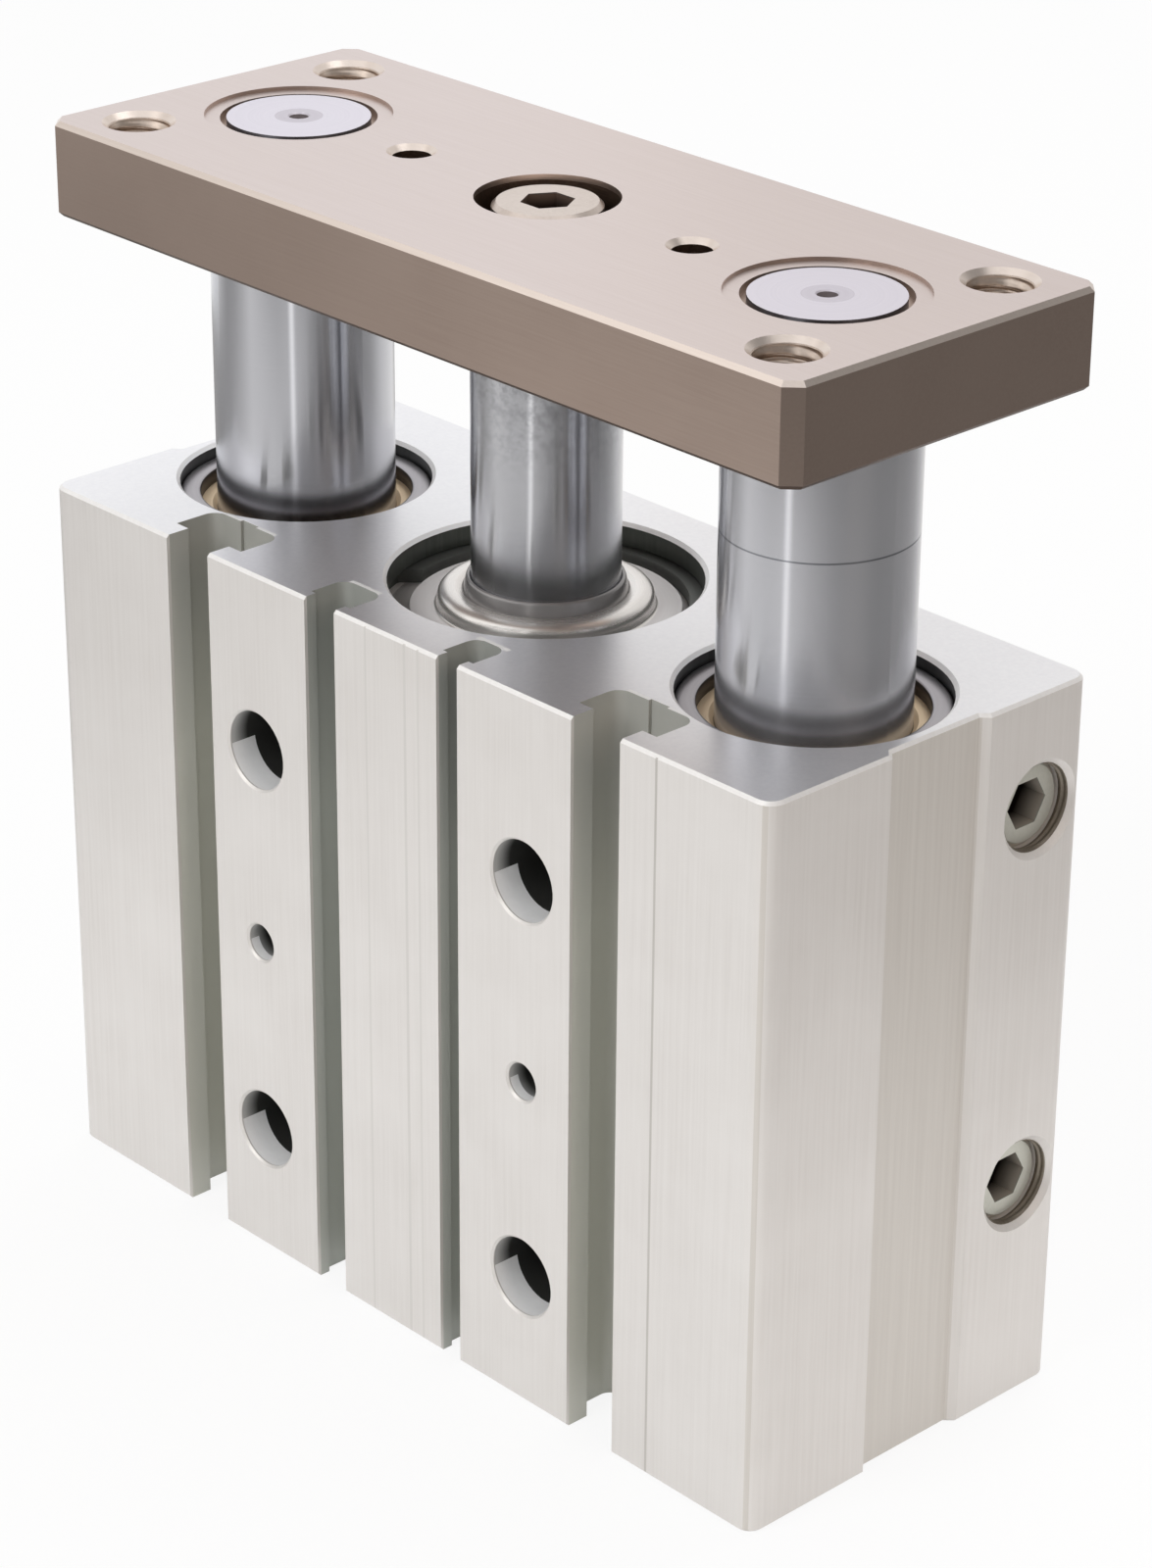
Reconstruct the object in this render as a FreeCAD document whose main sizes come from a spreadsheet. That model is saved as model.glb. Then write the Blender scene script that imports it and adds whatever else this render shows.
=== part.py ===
import FreeCAD, Part
import math
import os
import Sketcher

# Guided pneumatic cylinder: a twin-rod slide unit with a 32 mm bore and a 30 mm stroke.
# Frame: millimetres, +Z along the stroke, origin in the middle of the body's base,
# X across the width, the slotted front face towards -Y. The carriage stands part-way out.

# Driving dimensions in millimetres, one cell of the sheet each
SIZES = {
    # Aluminium body, cut from a drawn section
    "body_width": 112.0,
    "body_depth": 46.0,
    "body_height": 83.0,
    "body_corner": 2.0,
    "edge_break": 0.35,
    # Two T-slots for mounting nuts in the front face
    "tslot_inset": 7.5,
    "tslot_mouth": 7.0,
    "tslot_lip": 3.0,
    "tslot_head": 11.0,
    "tslot_depth": 8.5,
    "tslot_relief_width": 2.6,
    "tslot_relief_depth": 0.4,
    "tslot_corner": 1.6,
    # Two grooves for piston sensors, a wide one and a narrow one
    "sensor_spacing": 20.0,
    "sensor_wide_mouth": 4.8,
    "sensor_narrow_mouth": 3.2,
    "sensor_lip": 1.6,
    "sensor_undercut": 0.7,
    "sensor_depth": 6.3,
    "sensor_corner": 1.5,
    # Shallow recess down the middle of both end faces
    "end_recess_front": 6.2,
    "end_recess_back": 7.3,
    "end_recess_depth": 0.9,
    # Cylinder bore with its seats for the rod cover and the head cover
    "bore": 32.0,
    "rod_cover_bore": 33.8,
    "rod_cover_seat": 11.5,
    "head_cover_bore": 34.0,
    "bore_bevel": 0.4,
    "ring_groove": 0.8,
    "ring_thickness": 1.5,
    "ring_play": 0.1,
    "ring_width": 2.4,
    "ring_opening": 14.0,
    "ring_turn": 45.0,
    "rod_ring_drop": 2.6,
    # Guide bores with two bushes each
    "guide_inset": 16.5,
    "guide_mouth": 28.2,
    "guide_mouth_depth": 3.2,
    "bush_outer": 26.4,
    "bush_length": 16.0,
    "lower_bush_drop": 34.0,
    "bush_bevel": 0.5,
    "guide_clearance_bore": 22.0,
    "guide_ring_hole": 25.2,
    "guide_ring_thickness": 1.7,
    "guide_ring_bevel": 0.5,
    # Air ports and the passages that lead to the bore
    "port_thread": 9.73,
    "port_depth": 8.0,
    "port_bevel": 0.6,
    "port_offset": 16.3,
    "upper_port_inset": 1.5,
    "lower_port_inset": 1.9,
    "rear_port_side": 31.0,
    "passage": 3.5,
    "plug_length": 6.0,
    "plug_sink": 1.9,
    "plug_socket": 5.0,
    "plug_socket_depth": 3.5,
    # Mounting holes through the body from front to back
    "mount_inset": 10.75,
    "mount_spacing_z": 46.9,
    "mount_drop": 20.8,
    "mount_hole": 5.2,
    "mount_counterbore": 9.0,
    "mount_counterbore_depth": 9.5,
    "mount_bevel": 0.5,
    "pin_hole": 4.2,
    "pin_depth": 6.0,
    "pin_drop": 44.1,
    # Threaded holes in the base
    "base_inset_x": 7.0,
    "base_inset_y": 8.0,
    "base_thread": 6.8,
    "base_thread_depth": 16.0,
    # Tooling plate
    "plate_width": 112.0,
    "plate_depth": 43.0,
    "plate_thickness": 10.6,
    "plate_corner": 1.6,
    "plate_bevel": 0.5,
    "plate_thread": 6.8,
    "plate_thread_inset_x": 7.5,
    "plate_thread_inset_y": 6.8,
    "plate_pin": 4.2,
    "plate_pin_spacing": 42.0,
    "plate_hole_bevel": 0.6,
    "rod_seat_depth": 1.0,
    # Rods
    "guide_rod": 20.0,
    "guide_spigot": 15.6,
    "guide_spigot_ring": 17.0,
    "guide_spigot_ring_depth": 1.3,
    "guide_recess": 20.4,
    "guide_recess_depth": 0.4,
    "guide_end_drop": 0.3,
    "piston_rod": 16.0,
    "rod_bevel": 0.8,
    "rod_base_gap": 1.0,
    "centre_drill": 2.4,
    # Socket-head screw between plate and piston rod
    "screw_thread": 8.0,
    "screw_reach": 12.0,
    "tap_runout": 1.6,
    "screw_head": 11.6,
    "screw_head_height": 5.6,
    "screw_sink": 0.4,
    "screw_counterbore": 15.2,
    "screw_socket": 5.0,
    "screw_socket_depth": 3.0,
    # Piston with its seal, magnet and stops
    "stroke": 30.0,
    "closed_gap": 10.0,
    "rest_gap": 31.0,
    "piston_length": 15.0,
    "piston_hub": 26.0,
    "piston_hub_length": 3.6,
    "piston_clearance": 0.3,
    "piston_land": 0.7,
    "seal_width": 3.0,
    "seal_depth": 3.4,
    "magnet_width": 2.6,
    "magnet_depth": 3.0,
    "bumper": 1.0,
    "bumper_play": 0.1,
    "bumper_width": 2.5,
    "piston_stud": 8.0,
    "nut_flats": 13.0,
    "nut_height": 4.0,
    "nut_pocket": 16.4,
    "nut_pocket_depth": 4.4,
    # Rod cover and head cover
    "cover_boss": 22.5,
    "cover_boss_height": 3.2,
    "rod_seal_seat": 18.8,
    "rod_seal_depth": 5.0,
    "rod_seal_sink": 1.2,
    "rod_seal_throat": 0.45,
    "rod_seal_lip": 0.8,
    "head_cover_thickness": 10.0,
    "head_cover_dish": 20.0,
    "head_cover_dish_depth": 4.0,
    "gasket_wire": 1.6,
    "gasket_groove_width": 2.2,
    "gasket_inset": 1.7,
    # Fits
    "seat_clearance": 0.02,
    "running_clearance": 0.05,
}

TOLERANCE = 1e-9
FULL_TURN = 360.0
UPRIGHT = FreeCAD.Vector(0, 0, 1)
HALF = 0.5
HEXAGON_SIDES = 6
GASKET_SIDES = 8


class Term:
    """A length with both its number and the sheet expression that gives it."""

    def __init__(self, value, text):
        self.value = float(value)
        self.text = text

    @staticmethod
    def of(thing):
        """Take a bare number as a term."""
        return thing if isinstance(thing, Term) else Term(thing, repr(float(thing)))

    def __add__(self, other):
        other = Term.of(other)
        return Term(self.value + other.value, f"({self.text} + {other.text})")

    def __sub__(self, other):
        other = Term.of(other)
        return Term(self.value - other.value, f"({self.text} - {other.text})")

    def __mul__(self, factor):
        factor = Term.of(factor)
        return Term(self.value * factor.value, f"({self.text} * {factor.text})")

    def __neg__(self):
        return Term(-self.value, f"(0 - {self.text})")


class Sheet:
    """The document's sheet of sizes, read back as terms by name."""

    def __init__(self, document, table):
        sheet = document.addObject("Spreadsheet::Sheet", "Sizes")
        for row, (name, value) in enumerate(table.items(), start=1):
            sheet.set(f"A{row}", name)
            sheet.set(f"B{row}", str(value))
            sheet.setAlias(f"B{row}", name)
        self.table = table
        document.recompute()

    def __getattr__(self, name):
        return Term(self.table[name], f"Sizes.{name}")


def bind(thing, path, term):
    """Tie one property of an object to a term."""
    thing.setExpression(path, term.text)


def origin_plane(body, role):
    """Find one of a body's own origin planes."""
    return next(feature for feature in body.Origin.OriginFeatures if feature.Role == role)


def new_body(document, label):
    """Start a sub-part whose label is the name of its file."""
    body = document.addObject("PartDesign::Body", label)
    body.Label = label
    return body


def new_sketch(body, name, plane="XY_Plane", offset=None):
    """Lay an empty sketch on an origin plane, shifted along its normal."""
    sketch = body.newObject("Sketcher::SketchObject", name)
    sketch.AttachmentSupport = (origin_plane(body, plane), [""])
    sketch.MapMode = "FlatFace"
    if offset is not None:
        sketch.AttachmentOffset = FreeCAD.Placement(
            FreeCAD.Vector(0, 0, offset.value), FreeCAD.Rotation())
        bind(sketch, "AttachmentOffset.Base.z", offset)
    return sketch


def hold(sketch, geometry, point, across, up):
    """Hold a sketch point at its two distances from the sketch's origin."""
    for term, kind, axis in ((across, "DistanceX", -2), (up, "DistanceY", -1)):
        if abs(term.value) < TOLERANCE:
            sketch.addConstraint(Sketcher.Constraint("PointOnObject", geometry, point, axis))
        elif term.value > 0:
            index = sketch.addConstraint(
                Sketcher.Constraint(kind, -1, 1, geometry, point, term.value))
            bind(sketch, f"Constraints[{index}]", term)
        else:
            index = sketch.addConstraint(
                Sketcher.Constraint(kind, geometry, point, -1, 1, -term.value))
            bind(sketch, f"Constraints[{index}]", -term)


def draw_outline(sketch, corners):
    """Close straight edges through corners given as pairs of terms."""
    corners = [(Term.of(across), Term.of(up)) for across, up in corners]
    points = [FreeCAD.Vector(across.value, up.value, 0) for across, up in corners]
    count = len(points)
    lines = [sketch.addGeometry(Part.LineSegment(point, points[(index + 1) % count]), False)
             for index, point in enumerate(points)]
    for index, line in enumerate(lines):
        sketch.addConstraint(
            Sketcher.Constraint("Coincident", line, 2, lines[(index + 1) % count], 1))
    for line, (across, up) in zip(lines, corners):
        hold(sketch, line, 1, across, up)


def draw_axis(sketch, start, end):
    """Add a construction line and hold both of its ends."""
    ends = [tuple(Term.of(value) for value in point) for point in (start, end)]
    vectors = [FreeCAD.Vector(across.value, up.value, 0) for across, up in ends]
    line = sketch.addGeometry(Part.LineSegment(*vectors), True)
    for point, (across, up) in zip((1, 2), ends):
        hold(sketch, line, point, across, up)


def draw_circle(sketch, across, up, diameter):
    """Draw a held circle."""
    across, up = Term.of(across), Term.of(up)
    centre = FreeCAD.Vector(across.value, up.value, 0)
    circle = sketch.addGeometry(
        Part.Circle(centre, UPRIGHT, diameter.value * HALF), False)
    hold(sketch, circle, 3, across, up)
    index = sketch.addConstraint(Sketcher.Constraint("Diameter", circle, diameter.value))
    bind(sketch, f"Constraints[{index}]", diameter)


def draw_polygon(sketch, across, up, flats, sides, turn=0.0):
    """Draw a regular polygon round a point by its width across flats."""
    corner_radius = flats * (HALF / math.cos(math.pi / sides))
    corners = []
    for side in range(sides):
        angle = turn + 2 * math.pi * side / sides
        corners.append((Term.of(across) + corner_radius * math.cos(angle),
                        Term.of(up) + corner_radius * math.sin(angle)))
    draw_outline(sketch, corners)


def solid_volume(body):
    """Volume of what the body holds so far."""
    return 0.0 if body.Shape.isNull() else body.Shape.Volume


def add_feature(body, kind, name, removes, settings, bound):
    """Add a feature and make sure that it added or removed material as it should."""
    before = solid_volume(body)
    feature = body.newObject(f"PartDesign::{kind}", name)
    for field, value in settings.items():
        setattr(feature, field, value)
    for field, term in bound.items():
        setattr(feature, field, term.value)
        bind(feature, field, term)
    body.Tip = feature
    body.Document.recompute()
    gained = solid_volume(body) - before
    if (gained >= 0) if removes else (gained <= 0):
        raise RuntimeError(f"{body.Label}: {name} did not change the solid as it should")


def pad(body, name, sketch, length):
    """Extrude a sketch upwards."""
    add_feature(body, "Pad", name, False, {"Profile": sketch}, {"Length": length})


def pocket(body, name, sketch, length):
    """Cut a sketch into the material behind it."""
    add_feature(body, "Pocket", name, True, {"Profile": sketch, "Reversed": False},
                {"Length": length})


def revolve(body, name, sketch, removes=False, axis="V_Axis"):
    """Turn a sketch about one of its own lines, to add material or to remove it."""
    kind = "Groove" if removes else "Revolution"
    add_feature(body, kind, name, removes,
                {"Profile": sketch, "ReferenceAxis": (sketch, [axis]), "Angle": FULL_TURN}, {})


def dress(body, name, kind, edges, size, removes=True):
    """Round or bevel the edges that a test picks out."""
    base = body.Tip
    names = [f"Edge{number}" for number, edge in enumerate(base.Shape.Edges, start=1)
             if edges(edge)]
    amount = "Radius" if kind == "Fillet" else "Size"
    add_feature(body, kind, name, removes, {"Base": (base, names)}, {amount: size})


def place(body, across=None, depth=None, height=None):
    """Move a finished sub-part to its place."""
    for axis, term in (("x", across), ("y", depth), ("z", height)):
        if term is not None:
            bind(body, f"Placement.Base.{axis}", term)


def upright_at(points, reach=1e-3):
    """Make a test for upright edges that stand at one of the given points."""
    def test(edge):
        ends = [vertex.Point for vertex in edge.Vertexes]
        if len(ends) != 2 or abs(ends[0].z - ends[1].z) < reach:
            return False
        return any(math.hypot(end.x - across.value, end.y - depth.value) < reach
                   for across, depth in points for end in ends[:1])
    return test


def level_with(*heights, reach=1e-6):
    """Make a test for edges that lie flat at one of the given heights."""
    def test(edge):
        box = edge.BoundBox
        return any(abs(box.ZMin - height.value) < reach and abs(box.ZMax - height.value) < reach
                   for height in heights)
    return test


def rim_edges(size, layout, reach=1e-6):
    """Make a test for the flat edges round the outside of the body's two sawn ends."""
    flat = level_with(Term.of(0), layout.top)
    flank = layout.side.value - size.body_corner.value - reach
    face = layout.back.value - reach

    def test(edge):
        box = edge.BoundBox
        beside = box.XMin > flank or box.XMax < -flank
        facing = box.YMin > face or box.YMax < -face
        return flat(edge) and (beside or facing)
    return test


def turned(document, label, profile, across=None):
    """Make a round piece from corners given as radius and height."""
    body = new_body(document, label)
    sketch = new_sketch(body, f"{label}_profile", "XZ_Plane")
    draw_outline(sketch, profile)
    revolve(body, f"{label}_turning", sketch)
    place(body, across=across)
    return body


def gasket_ring(document, label, radius, height, wire):
    """Make a gasket of near-round section about the cylinder's axis."""
    body = new_body(document, label)
    sketch = new_sketch(body, f"{label}_section", "XZ_Plane")
    draw_polygon(sketch, radius, height, wire, GASKET_SIDES, math.pi / GASKET_SIDES)
    revolve(body, f"{label}_ring", sketch)


class Layout:
    """Heights and radii that several pieces share, all worked out from the sheet."""

    def __init__(self, size):
        self.top = size.body_height
        self.front = -(size.body_depth * HALF)
        self.back = size.body_depth * HALF
        self.side = size.body_width * HALF
        self.lift = size.rest_gap - size.closed_gap
        # Cylinder chamber between the two covers
        self.ceiling = self.top - size.rod_cover_seat
        self.stop = size.bumper + size.bumper_play
        self.floor = self.ceiling - size.stroke - size.piston_length - self.stop * 2
        self.cover_face = self.top - size.rod_ring_drop - size.ring_thickness - size.ring_play
        self.head_face = self.floor - size.head_cover_thickness
        # Guide bores
        self.guide_axis = self.side - size.guide_inset
        self.tslot_centre = self.guide_axis - size.tslot_inset
        self.mount_column = self.tslot_centre - size.mount_inset
        self.bush_top = self.top - size.guide_mouth_depth
        self.lower_bush_base = self.top - size.lower_bush_drop - size.bush_length
        # Ports
        self.upper_port = self.ceiling - size.upper_port_inset
        self.lower_port = self.floor + size.lower_port_inset
        # Carriage at rest
        self.plate_base = self.top + size.rest_gap
        self.plate_top = self.plate_base + size.plate_thickness
        self.screw_top = self.plate_top - size.screw_sink
        self.screw_seat = self.screw_top - size.screw_head_height
        self.piston_base = self.floor + self.stop + self.lift
        self.piston_top = self.piston_base + size.piston_length
        self.rod_end = size.rod_base_gap + self.lift


def slot_corners(layout, centre, mouth, lip, head, depth):
    """List the corners of an undercut slot in the front face, from left to right."""
    front = layout.front
    near, wide = mouth * HALF, head * HALF
    return [(centre - near, front), (centre - near, front + lip),
            (centre - wide, front + lip), (centre - wide, front + depth),
            (centre + wide, front + depth), (centre + wide, front + lip),
            (centre + near, front + lip), (centre + near, front)]


def section_corners(size, layout):
    """List the corners of the body's drawn section and those that are rounded."""
    side, front, back = layout.side, layout.front, layout.back
    relief = size.tslot_relief_width * HALF
    tslots, grooves = [], []
    for sign in (-1, 1):
        centre = layout.tslot_centre * sign
        corners = slot_corners(layout, centre, size.tslot_mouth, size.tslot_lip,
                               size.tslot_head, size.tslot_depth)
        floor = front + size.tslot_depth
        step = [(centre - relief, floor), (centre - relief, floor + size.tslot_relief_depth),
                (centre + relief, floor + size.tslot_relief_depth), (centre + relief, floor)]
        tslots.append(corners[:4] + step + corners[4:])
        mouth = size.sensor_wide_mouth if sign < 0 else size.sensor_narrow_mouth
        grooves.append(slot_corners(layout, size.sensor_spacing * (HALF * sign), mouth,
                                    size.sensor_lip, mouth + size.sensor_undercut * 2,
                                    size.sensor_depth))
    deep = size.end_recess_depth
    near, far = -size.end_recess_front, size.end_recess_back
    right = [(side, near), (side - deep, near + deep), (side - deep, far), (side, far + deep)]
    left = [(-across, depth) for across, depth in reversed(right)]
    outer = [(-side, front), (side, front), (side, back), (-side, back)]
    corners = ([outer[0]] + tslots[0] + grooves[0] + grooves[1] + tslots[1]
               + [outer[1]] + right + [outer[2], outer[3]] + left)
    tslot_bottoms = [slot[index] for slot in tslots for index in (3, 8)]
    sensor_bottoms = [slot[index] for slot in grooves for index in (3, 4)]
    return corners, outer, tslot_bottoms, sensor_bottoms


def cut_round(body, name, plane, offset, axis, profile):
    """Cut a stepped round hole about an axis that lies in the sketch."""
    sketch = new_sketch(body, f"{name}_profile", plane, offset)
    draw_axis(sketch, *axis)
    draw_outline(sketch, profile)
    revolve(body, name, sketch, removes=True, axis="Axis0")


def make_body(document, size, layout):
    """Drawn aluminium body with its bores, slots, ports and mounting holes."""
    body = new_body(document, "body")
    corners, outer, tslot_bottoms, sensor_bottoms = section_corners(size, layout)
    section = new_sketch(body, "drawn_section")
    draw_outline(section, corners)
    pad(body, "drawn_length", section, size.body_height)
    dress(body, "upright_corners", "Fillet", upright_at(outer), size.body_corner)
    dress(body, "tslot_bottoms", "Fillet", upright_at(tslot_bottoms), size.tslot_corner,
          removes=False)
    dress(body, "sensor_bottoms", "Fillet", upright_at(sensor_bottoms), size.sensor_corner,
          removes=False)
    dress(body, "sawn_edges", "Chamfer", rim_edges(size, layout), size.edge_break)
    cut_cylinder_bore(body, size, layout)
    cut_guide_bores(body, size, layout)
    cut_ports(body, size, layout)
    cut_mounting_holes(body, size, layout)


def cut_cylinder_bore(body, size, layout):
    """Bore with the two cover seats and their retaining-ring grooves."""
    bevel, groove = size.bore_bevel, size.ring_groove
    bore = size.bore * HALF
    rod_side, head_side = size.rod_cover_bore * HALF, size.head_cover_bore * HALF
    head_ring = layout.head_face - size.ring_thickness - size.ring_play
    upper_ring = layout.cover_face + size.ring_thickness + size.ring_play
    sketch = new_sketch(body, "bore_profile", "XZ_Plane")
    draw_outline(sketch, [
        (0, 0), (head_side + bevel, 0), (head_side, bevel),
        (head_side, head_ring), (head_side + groove, head_ring),
        (head_side + groove, layout.head_face), (head_side, layout.head_face),
        (head_side, layout.floor), (bore, layout.floor),
        (bore, layout.ceiling), (rod_side, layout.ceiling),
        (rod_side, layout.cover_face), (rod_side + groove, layout.cover_face),
        (rod_side + groove, upper_ring), (rod_side, upper_ring),
        (rod_side, layout.top - bevel), (rod_side + bevel, layout.top), (0, layout.top)])
    revolve(body, "cylinder_bore", sketch, removes=True)


def cut_guide_bores(body, size, layout):
    """Two guide bores, each with a mouth, a bush bore and a clearance bore."""
    bevel = size.bore_bevel
    mouth, bush = size.guide_mouth * HALF, size.bush_outer * HALF
    clear = size.guide_clearance_bore * HALF
    profile = [
        (0, 0), (clear + bevel, 0), (clear, bevel),
        (clear, layout.lower_bush_base), (bush, layout.lower_bush_base),
        (bush, layout.bush_top), (mouth, layout.bush_top),
        (mouth, layout.top - bevel), (mouth + bevel, layout.top), (0, layout.top)]
    for name, centre in (("left", -layout.guide_axis), ("right", layout.guide_axis)):
        cut_round(body, f"{name}_guide_bore", "XZ_Plane", None,
                  ((centre, 0), (centre, layout.top)),
                  [(Term.of(radius) + centre, height) for radius, height in profile])


def cut_ports(body, size, layout):
    """Side and rear ports, joined by a passage that breaks into the bore."""
    thread, bevel, reach = size.port_thread * HALF, size.port_bevel, size.port_depth
    passage = size.passage * HALF
    for name, height in (("upper", layout.upper_port), ("lower", layout.lower_port)):
        side = layout.side
        cut_round(body, f"{name}_side_port", "XZ_Plane", -size.port_offset,
                  ((side, height), (0, height)),
                  [(side, height), (side, height + thread + bevel),
                   (side - bevel, height + thread), (side - reach, height + thread),
                   (side - reach, height + passage), (0, height + passage), (0, height)])
        back = layout.back
        cut_round(body, f"{name}_rear_port", "YZ_Plane", size.rear_port_side,
                  ((back, height), (0, height)),
                  [(back, height), (back, height + thread + bevel),
                   (back - bevel, height + thread), (back - reach, height + thread),
                   (back - reach, height)])


def cut_mounting_holes(body, size, layout):
    """Counterbored screw holes from front to back, pin holes and base threads."""
    front, back, bevel = layout.front, layout.back, size.mount_bevel
    hole, head = size.mount_hole * HALF, size.mount_counterbore * HALF
    pin = size.pin_hole * HALF
    upper = layout.top - size.mount_drop
    pin_height = layout.top - size.pin_drop
    for column, sign in (("left", -1), ("right", 1)):
        across = layout.mount_column * sign
        for row, height in (("upper", upper), ("lower", upper - size.mount_spacing_z)):
            seat = front + size.mount_counterbore_depth
            cut_round(body, f"{column}_{row}_mount_hole", "YZ_Plane", across,
                      ((front, height), (back, height)),
                      [(front, height), (front, height + head + bevel * HALF),
                       (front + bevel * HALF, height + head), (seat, height + head),
                       (seat, height + hole), (back - bevel, height + hole),
                       (back, height + hole + bevel), (back, height)])
        cut_round(body, f"{column}_pin_hole", "YZ_Plane", across,
                  ((front, pin_height), (0, pin_height)),
                  [(front, pin_height), (front, pin_height + pin + bevel * HALF),
                   (front + bevel * HALF, pin_height + pin),
                   (front + size.pin_depth, pin_height + pin),
                   (front + size.pin_depth, pin_height)])
        thread, depth = size.base_thread * HALF, size.base_thread_depth
        x_place = (layout.side - size.base_inset_x) * sign
        for face, y_sign in (("front", -1), ("back", 1)):
            y_place = (layout.back - size.base_inset_y) * y_sign
            cut_round(body, f"{column}_{face}_base_thread", "XZ_Plane", -y_place,
                      ((x_place, 0), (x_place, depth)),
                      [(x_place, 0), (x_place + thread + bevel, 0), (x_place + thread, bevel),
                       (x_place + thread, depth), (x_place, depth + thread * HALF)])


def make_plate(document, size, layout):
    """Tooling plate with threads, pin holes, rod seats and the screw counterbore."""
    body = new_body(document, "tooling_plate")
    half_width, half_depth = size.plate_width * HALF, size.plate_depth * HALF
    outline = [(-half_width, -half_depth), (half_width, -half_depth),
               (half_width, half_depth), (-half_width, half_depth)]
    blank = new_sketch(body, "plate_outline")
    draw_outline(blank, outline)
    pad(body, "plate_blank", blank, size.plate_thickness)
    dress(body, "plate_corners", "Chamfer", upright_at(outline), size.plate_corner)
    thick = size.plate_thickness
    dress(body, "plate_edges", "Chamfer", level_with(Term.of(0), thick), size.plate_bevel)
    bevel = size.plate_hole_bevel
    thread_x = half_width - size.plate_thread_inset_x
    thread_y = half_depth - size.plate_thread_inset_y
    through = [("thread", size.plate_thread, thread_x * side, thread_y * row)
               for side in (-1, 1) for row in (-1, 1)]
    through += [("pin", size.plate_pin, size.plate_pin_spacing * (HALF * side), Term.of(0))
                for side in (-1, 1)]
    for number, (use, diameter, across, depth) in enumerate(through, start=1):
        radius = diameter * HALF
        cut_round(body, f"plate_{use}_{number}", "XZ_Plane", -depth,
                  ((across, 0), (across, thick)),
                  [(across, 0), (across + radius + bevel, 0), (across + radius, bevel),
                   (across + radius, thick - bevel), (across + radius + bevel, thick),
                   (across, thick)])
    seat = size.piston_rod * HALF + size.seat_clearance
    shank = size.screw_thread * HALF + size.seat_clearance
    head = size.screw_counterbore * HALF
    head_seat = thick - size.screw_sink - size.screw_head_height
    sketch = new_sketch(body, "screw_seat_profile", "XZ_Plane")
    draw_outline(sketch, [
        (0, 0), (seat, 0), (seat, size.rod_seat_depth), (shank, size.rod_seat_depth),
        (shank, head_seat), (head, head_seat),
        (head, thick), (0, thick)])
    revolve(body, "screw_seat", sketch, removes=True)
    spigot = size.guide_spigot * HALF + size.seat_clearance
    ring, ring_floor = size.guide_spigot_ring * HALF, thick - size.guide_spigot_ring_depth
    recess, recess_floor = size.guide_recess * HALF, thick - size.guide_recess_depth
    for name, centre in (("left", -layout.guide_axis), ("right", layout.guide_axis)):
        profile = [(0, 0), (spigot, 0), (spigot, ring_floor), (ring, ring_floor),
                   (ring, recess_floor), (recess, recess_floor), (recess, thick), (0, thick)]
        cut_round(body, f"{name}_spigot_hole", "XZ_Plane", None,
                  ((centre, 0), (centre, thick)),
                  [(Term.of(radius) + centre, height) for radius, height in profile])
    place(body, height=layout.plate_base)


def make_guide_rod(document, size, layout, name, centre):
    """Guide rod with the spigot that is pressed into the plate."""
    rod, spigot, bevel = size.guide_rod * HALF, size.guide_spigot * HALF, size.rod_bevel
    base, shoulder = layout.rod_end, layout.plate_base
    end = layout.plate_top - size.guide_end_drop
    drill = size.centre_drill * HALF
    turned(document, f"guide_rod_{name}", [
        (0, base), (rod - bevel, base), (rod, base + bevel), (rod, shoulder),
        (spigot, shoulder), (spigot, end), (drill, end), (0, end - drill)], across=centre)


def make_piston_rod(document, size, layout):
    """Piston rod with a stud for the piston and a tapped top end."""
    rod, stud, bevel = size.piston_rod * HALF, size.piston_stud * HALF, size.rod_bevel
    shoulder, top = layout.piston_top, layout.plate_base + size.rod_seat_depth
    tapped = size.screw_thread * HALF + size.seat_clearance
    stud_end = layout.piston_base + bevel * HALF
    bottom = layout.screw_seat - size.screw_reach - size.tap_runout
    turned(document, "piston_rod", [
        (0, stud_end), (stud, stud_end), (stud, shoulder), (rod, shoulder),
        (rod, top - bevel), (rod - bevel, top), (tapped, top), (tapped, bottom),
        (0, bottom - tapped * HALF)])


def make_plate_screw(document, size, layout):
    """Socket-head screw that draws the plate onto the piston rod."""
    head, shank, bevel = size.screw_head * HALF, size.screw_thread * HALF, size.plate_bevel
    under, top = layout.screw_seat, layout.screw_top
    tip = under - size.screw_reach
    body = turned(document, "plate_screw", [
        (0, tip), (shank - bevel, tip), (shank, tip + bevel), (shank, under),
        (head, under), (head, top - bevel), (head - bevel, top), (0, top)])
    socket = new_sketch(body, "socket_outline", "XY_Plane", top)
    draw_polygon(socket, 0, 0, size.screw_socket, HEXAGON_SIDES)
    pocket(body, "screw_socket", socket, size.screw_socket_depth)


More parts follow.
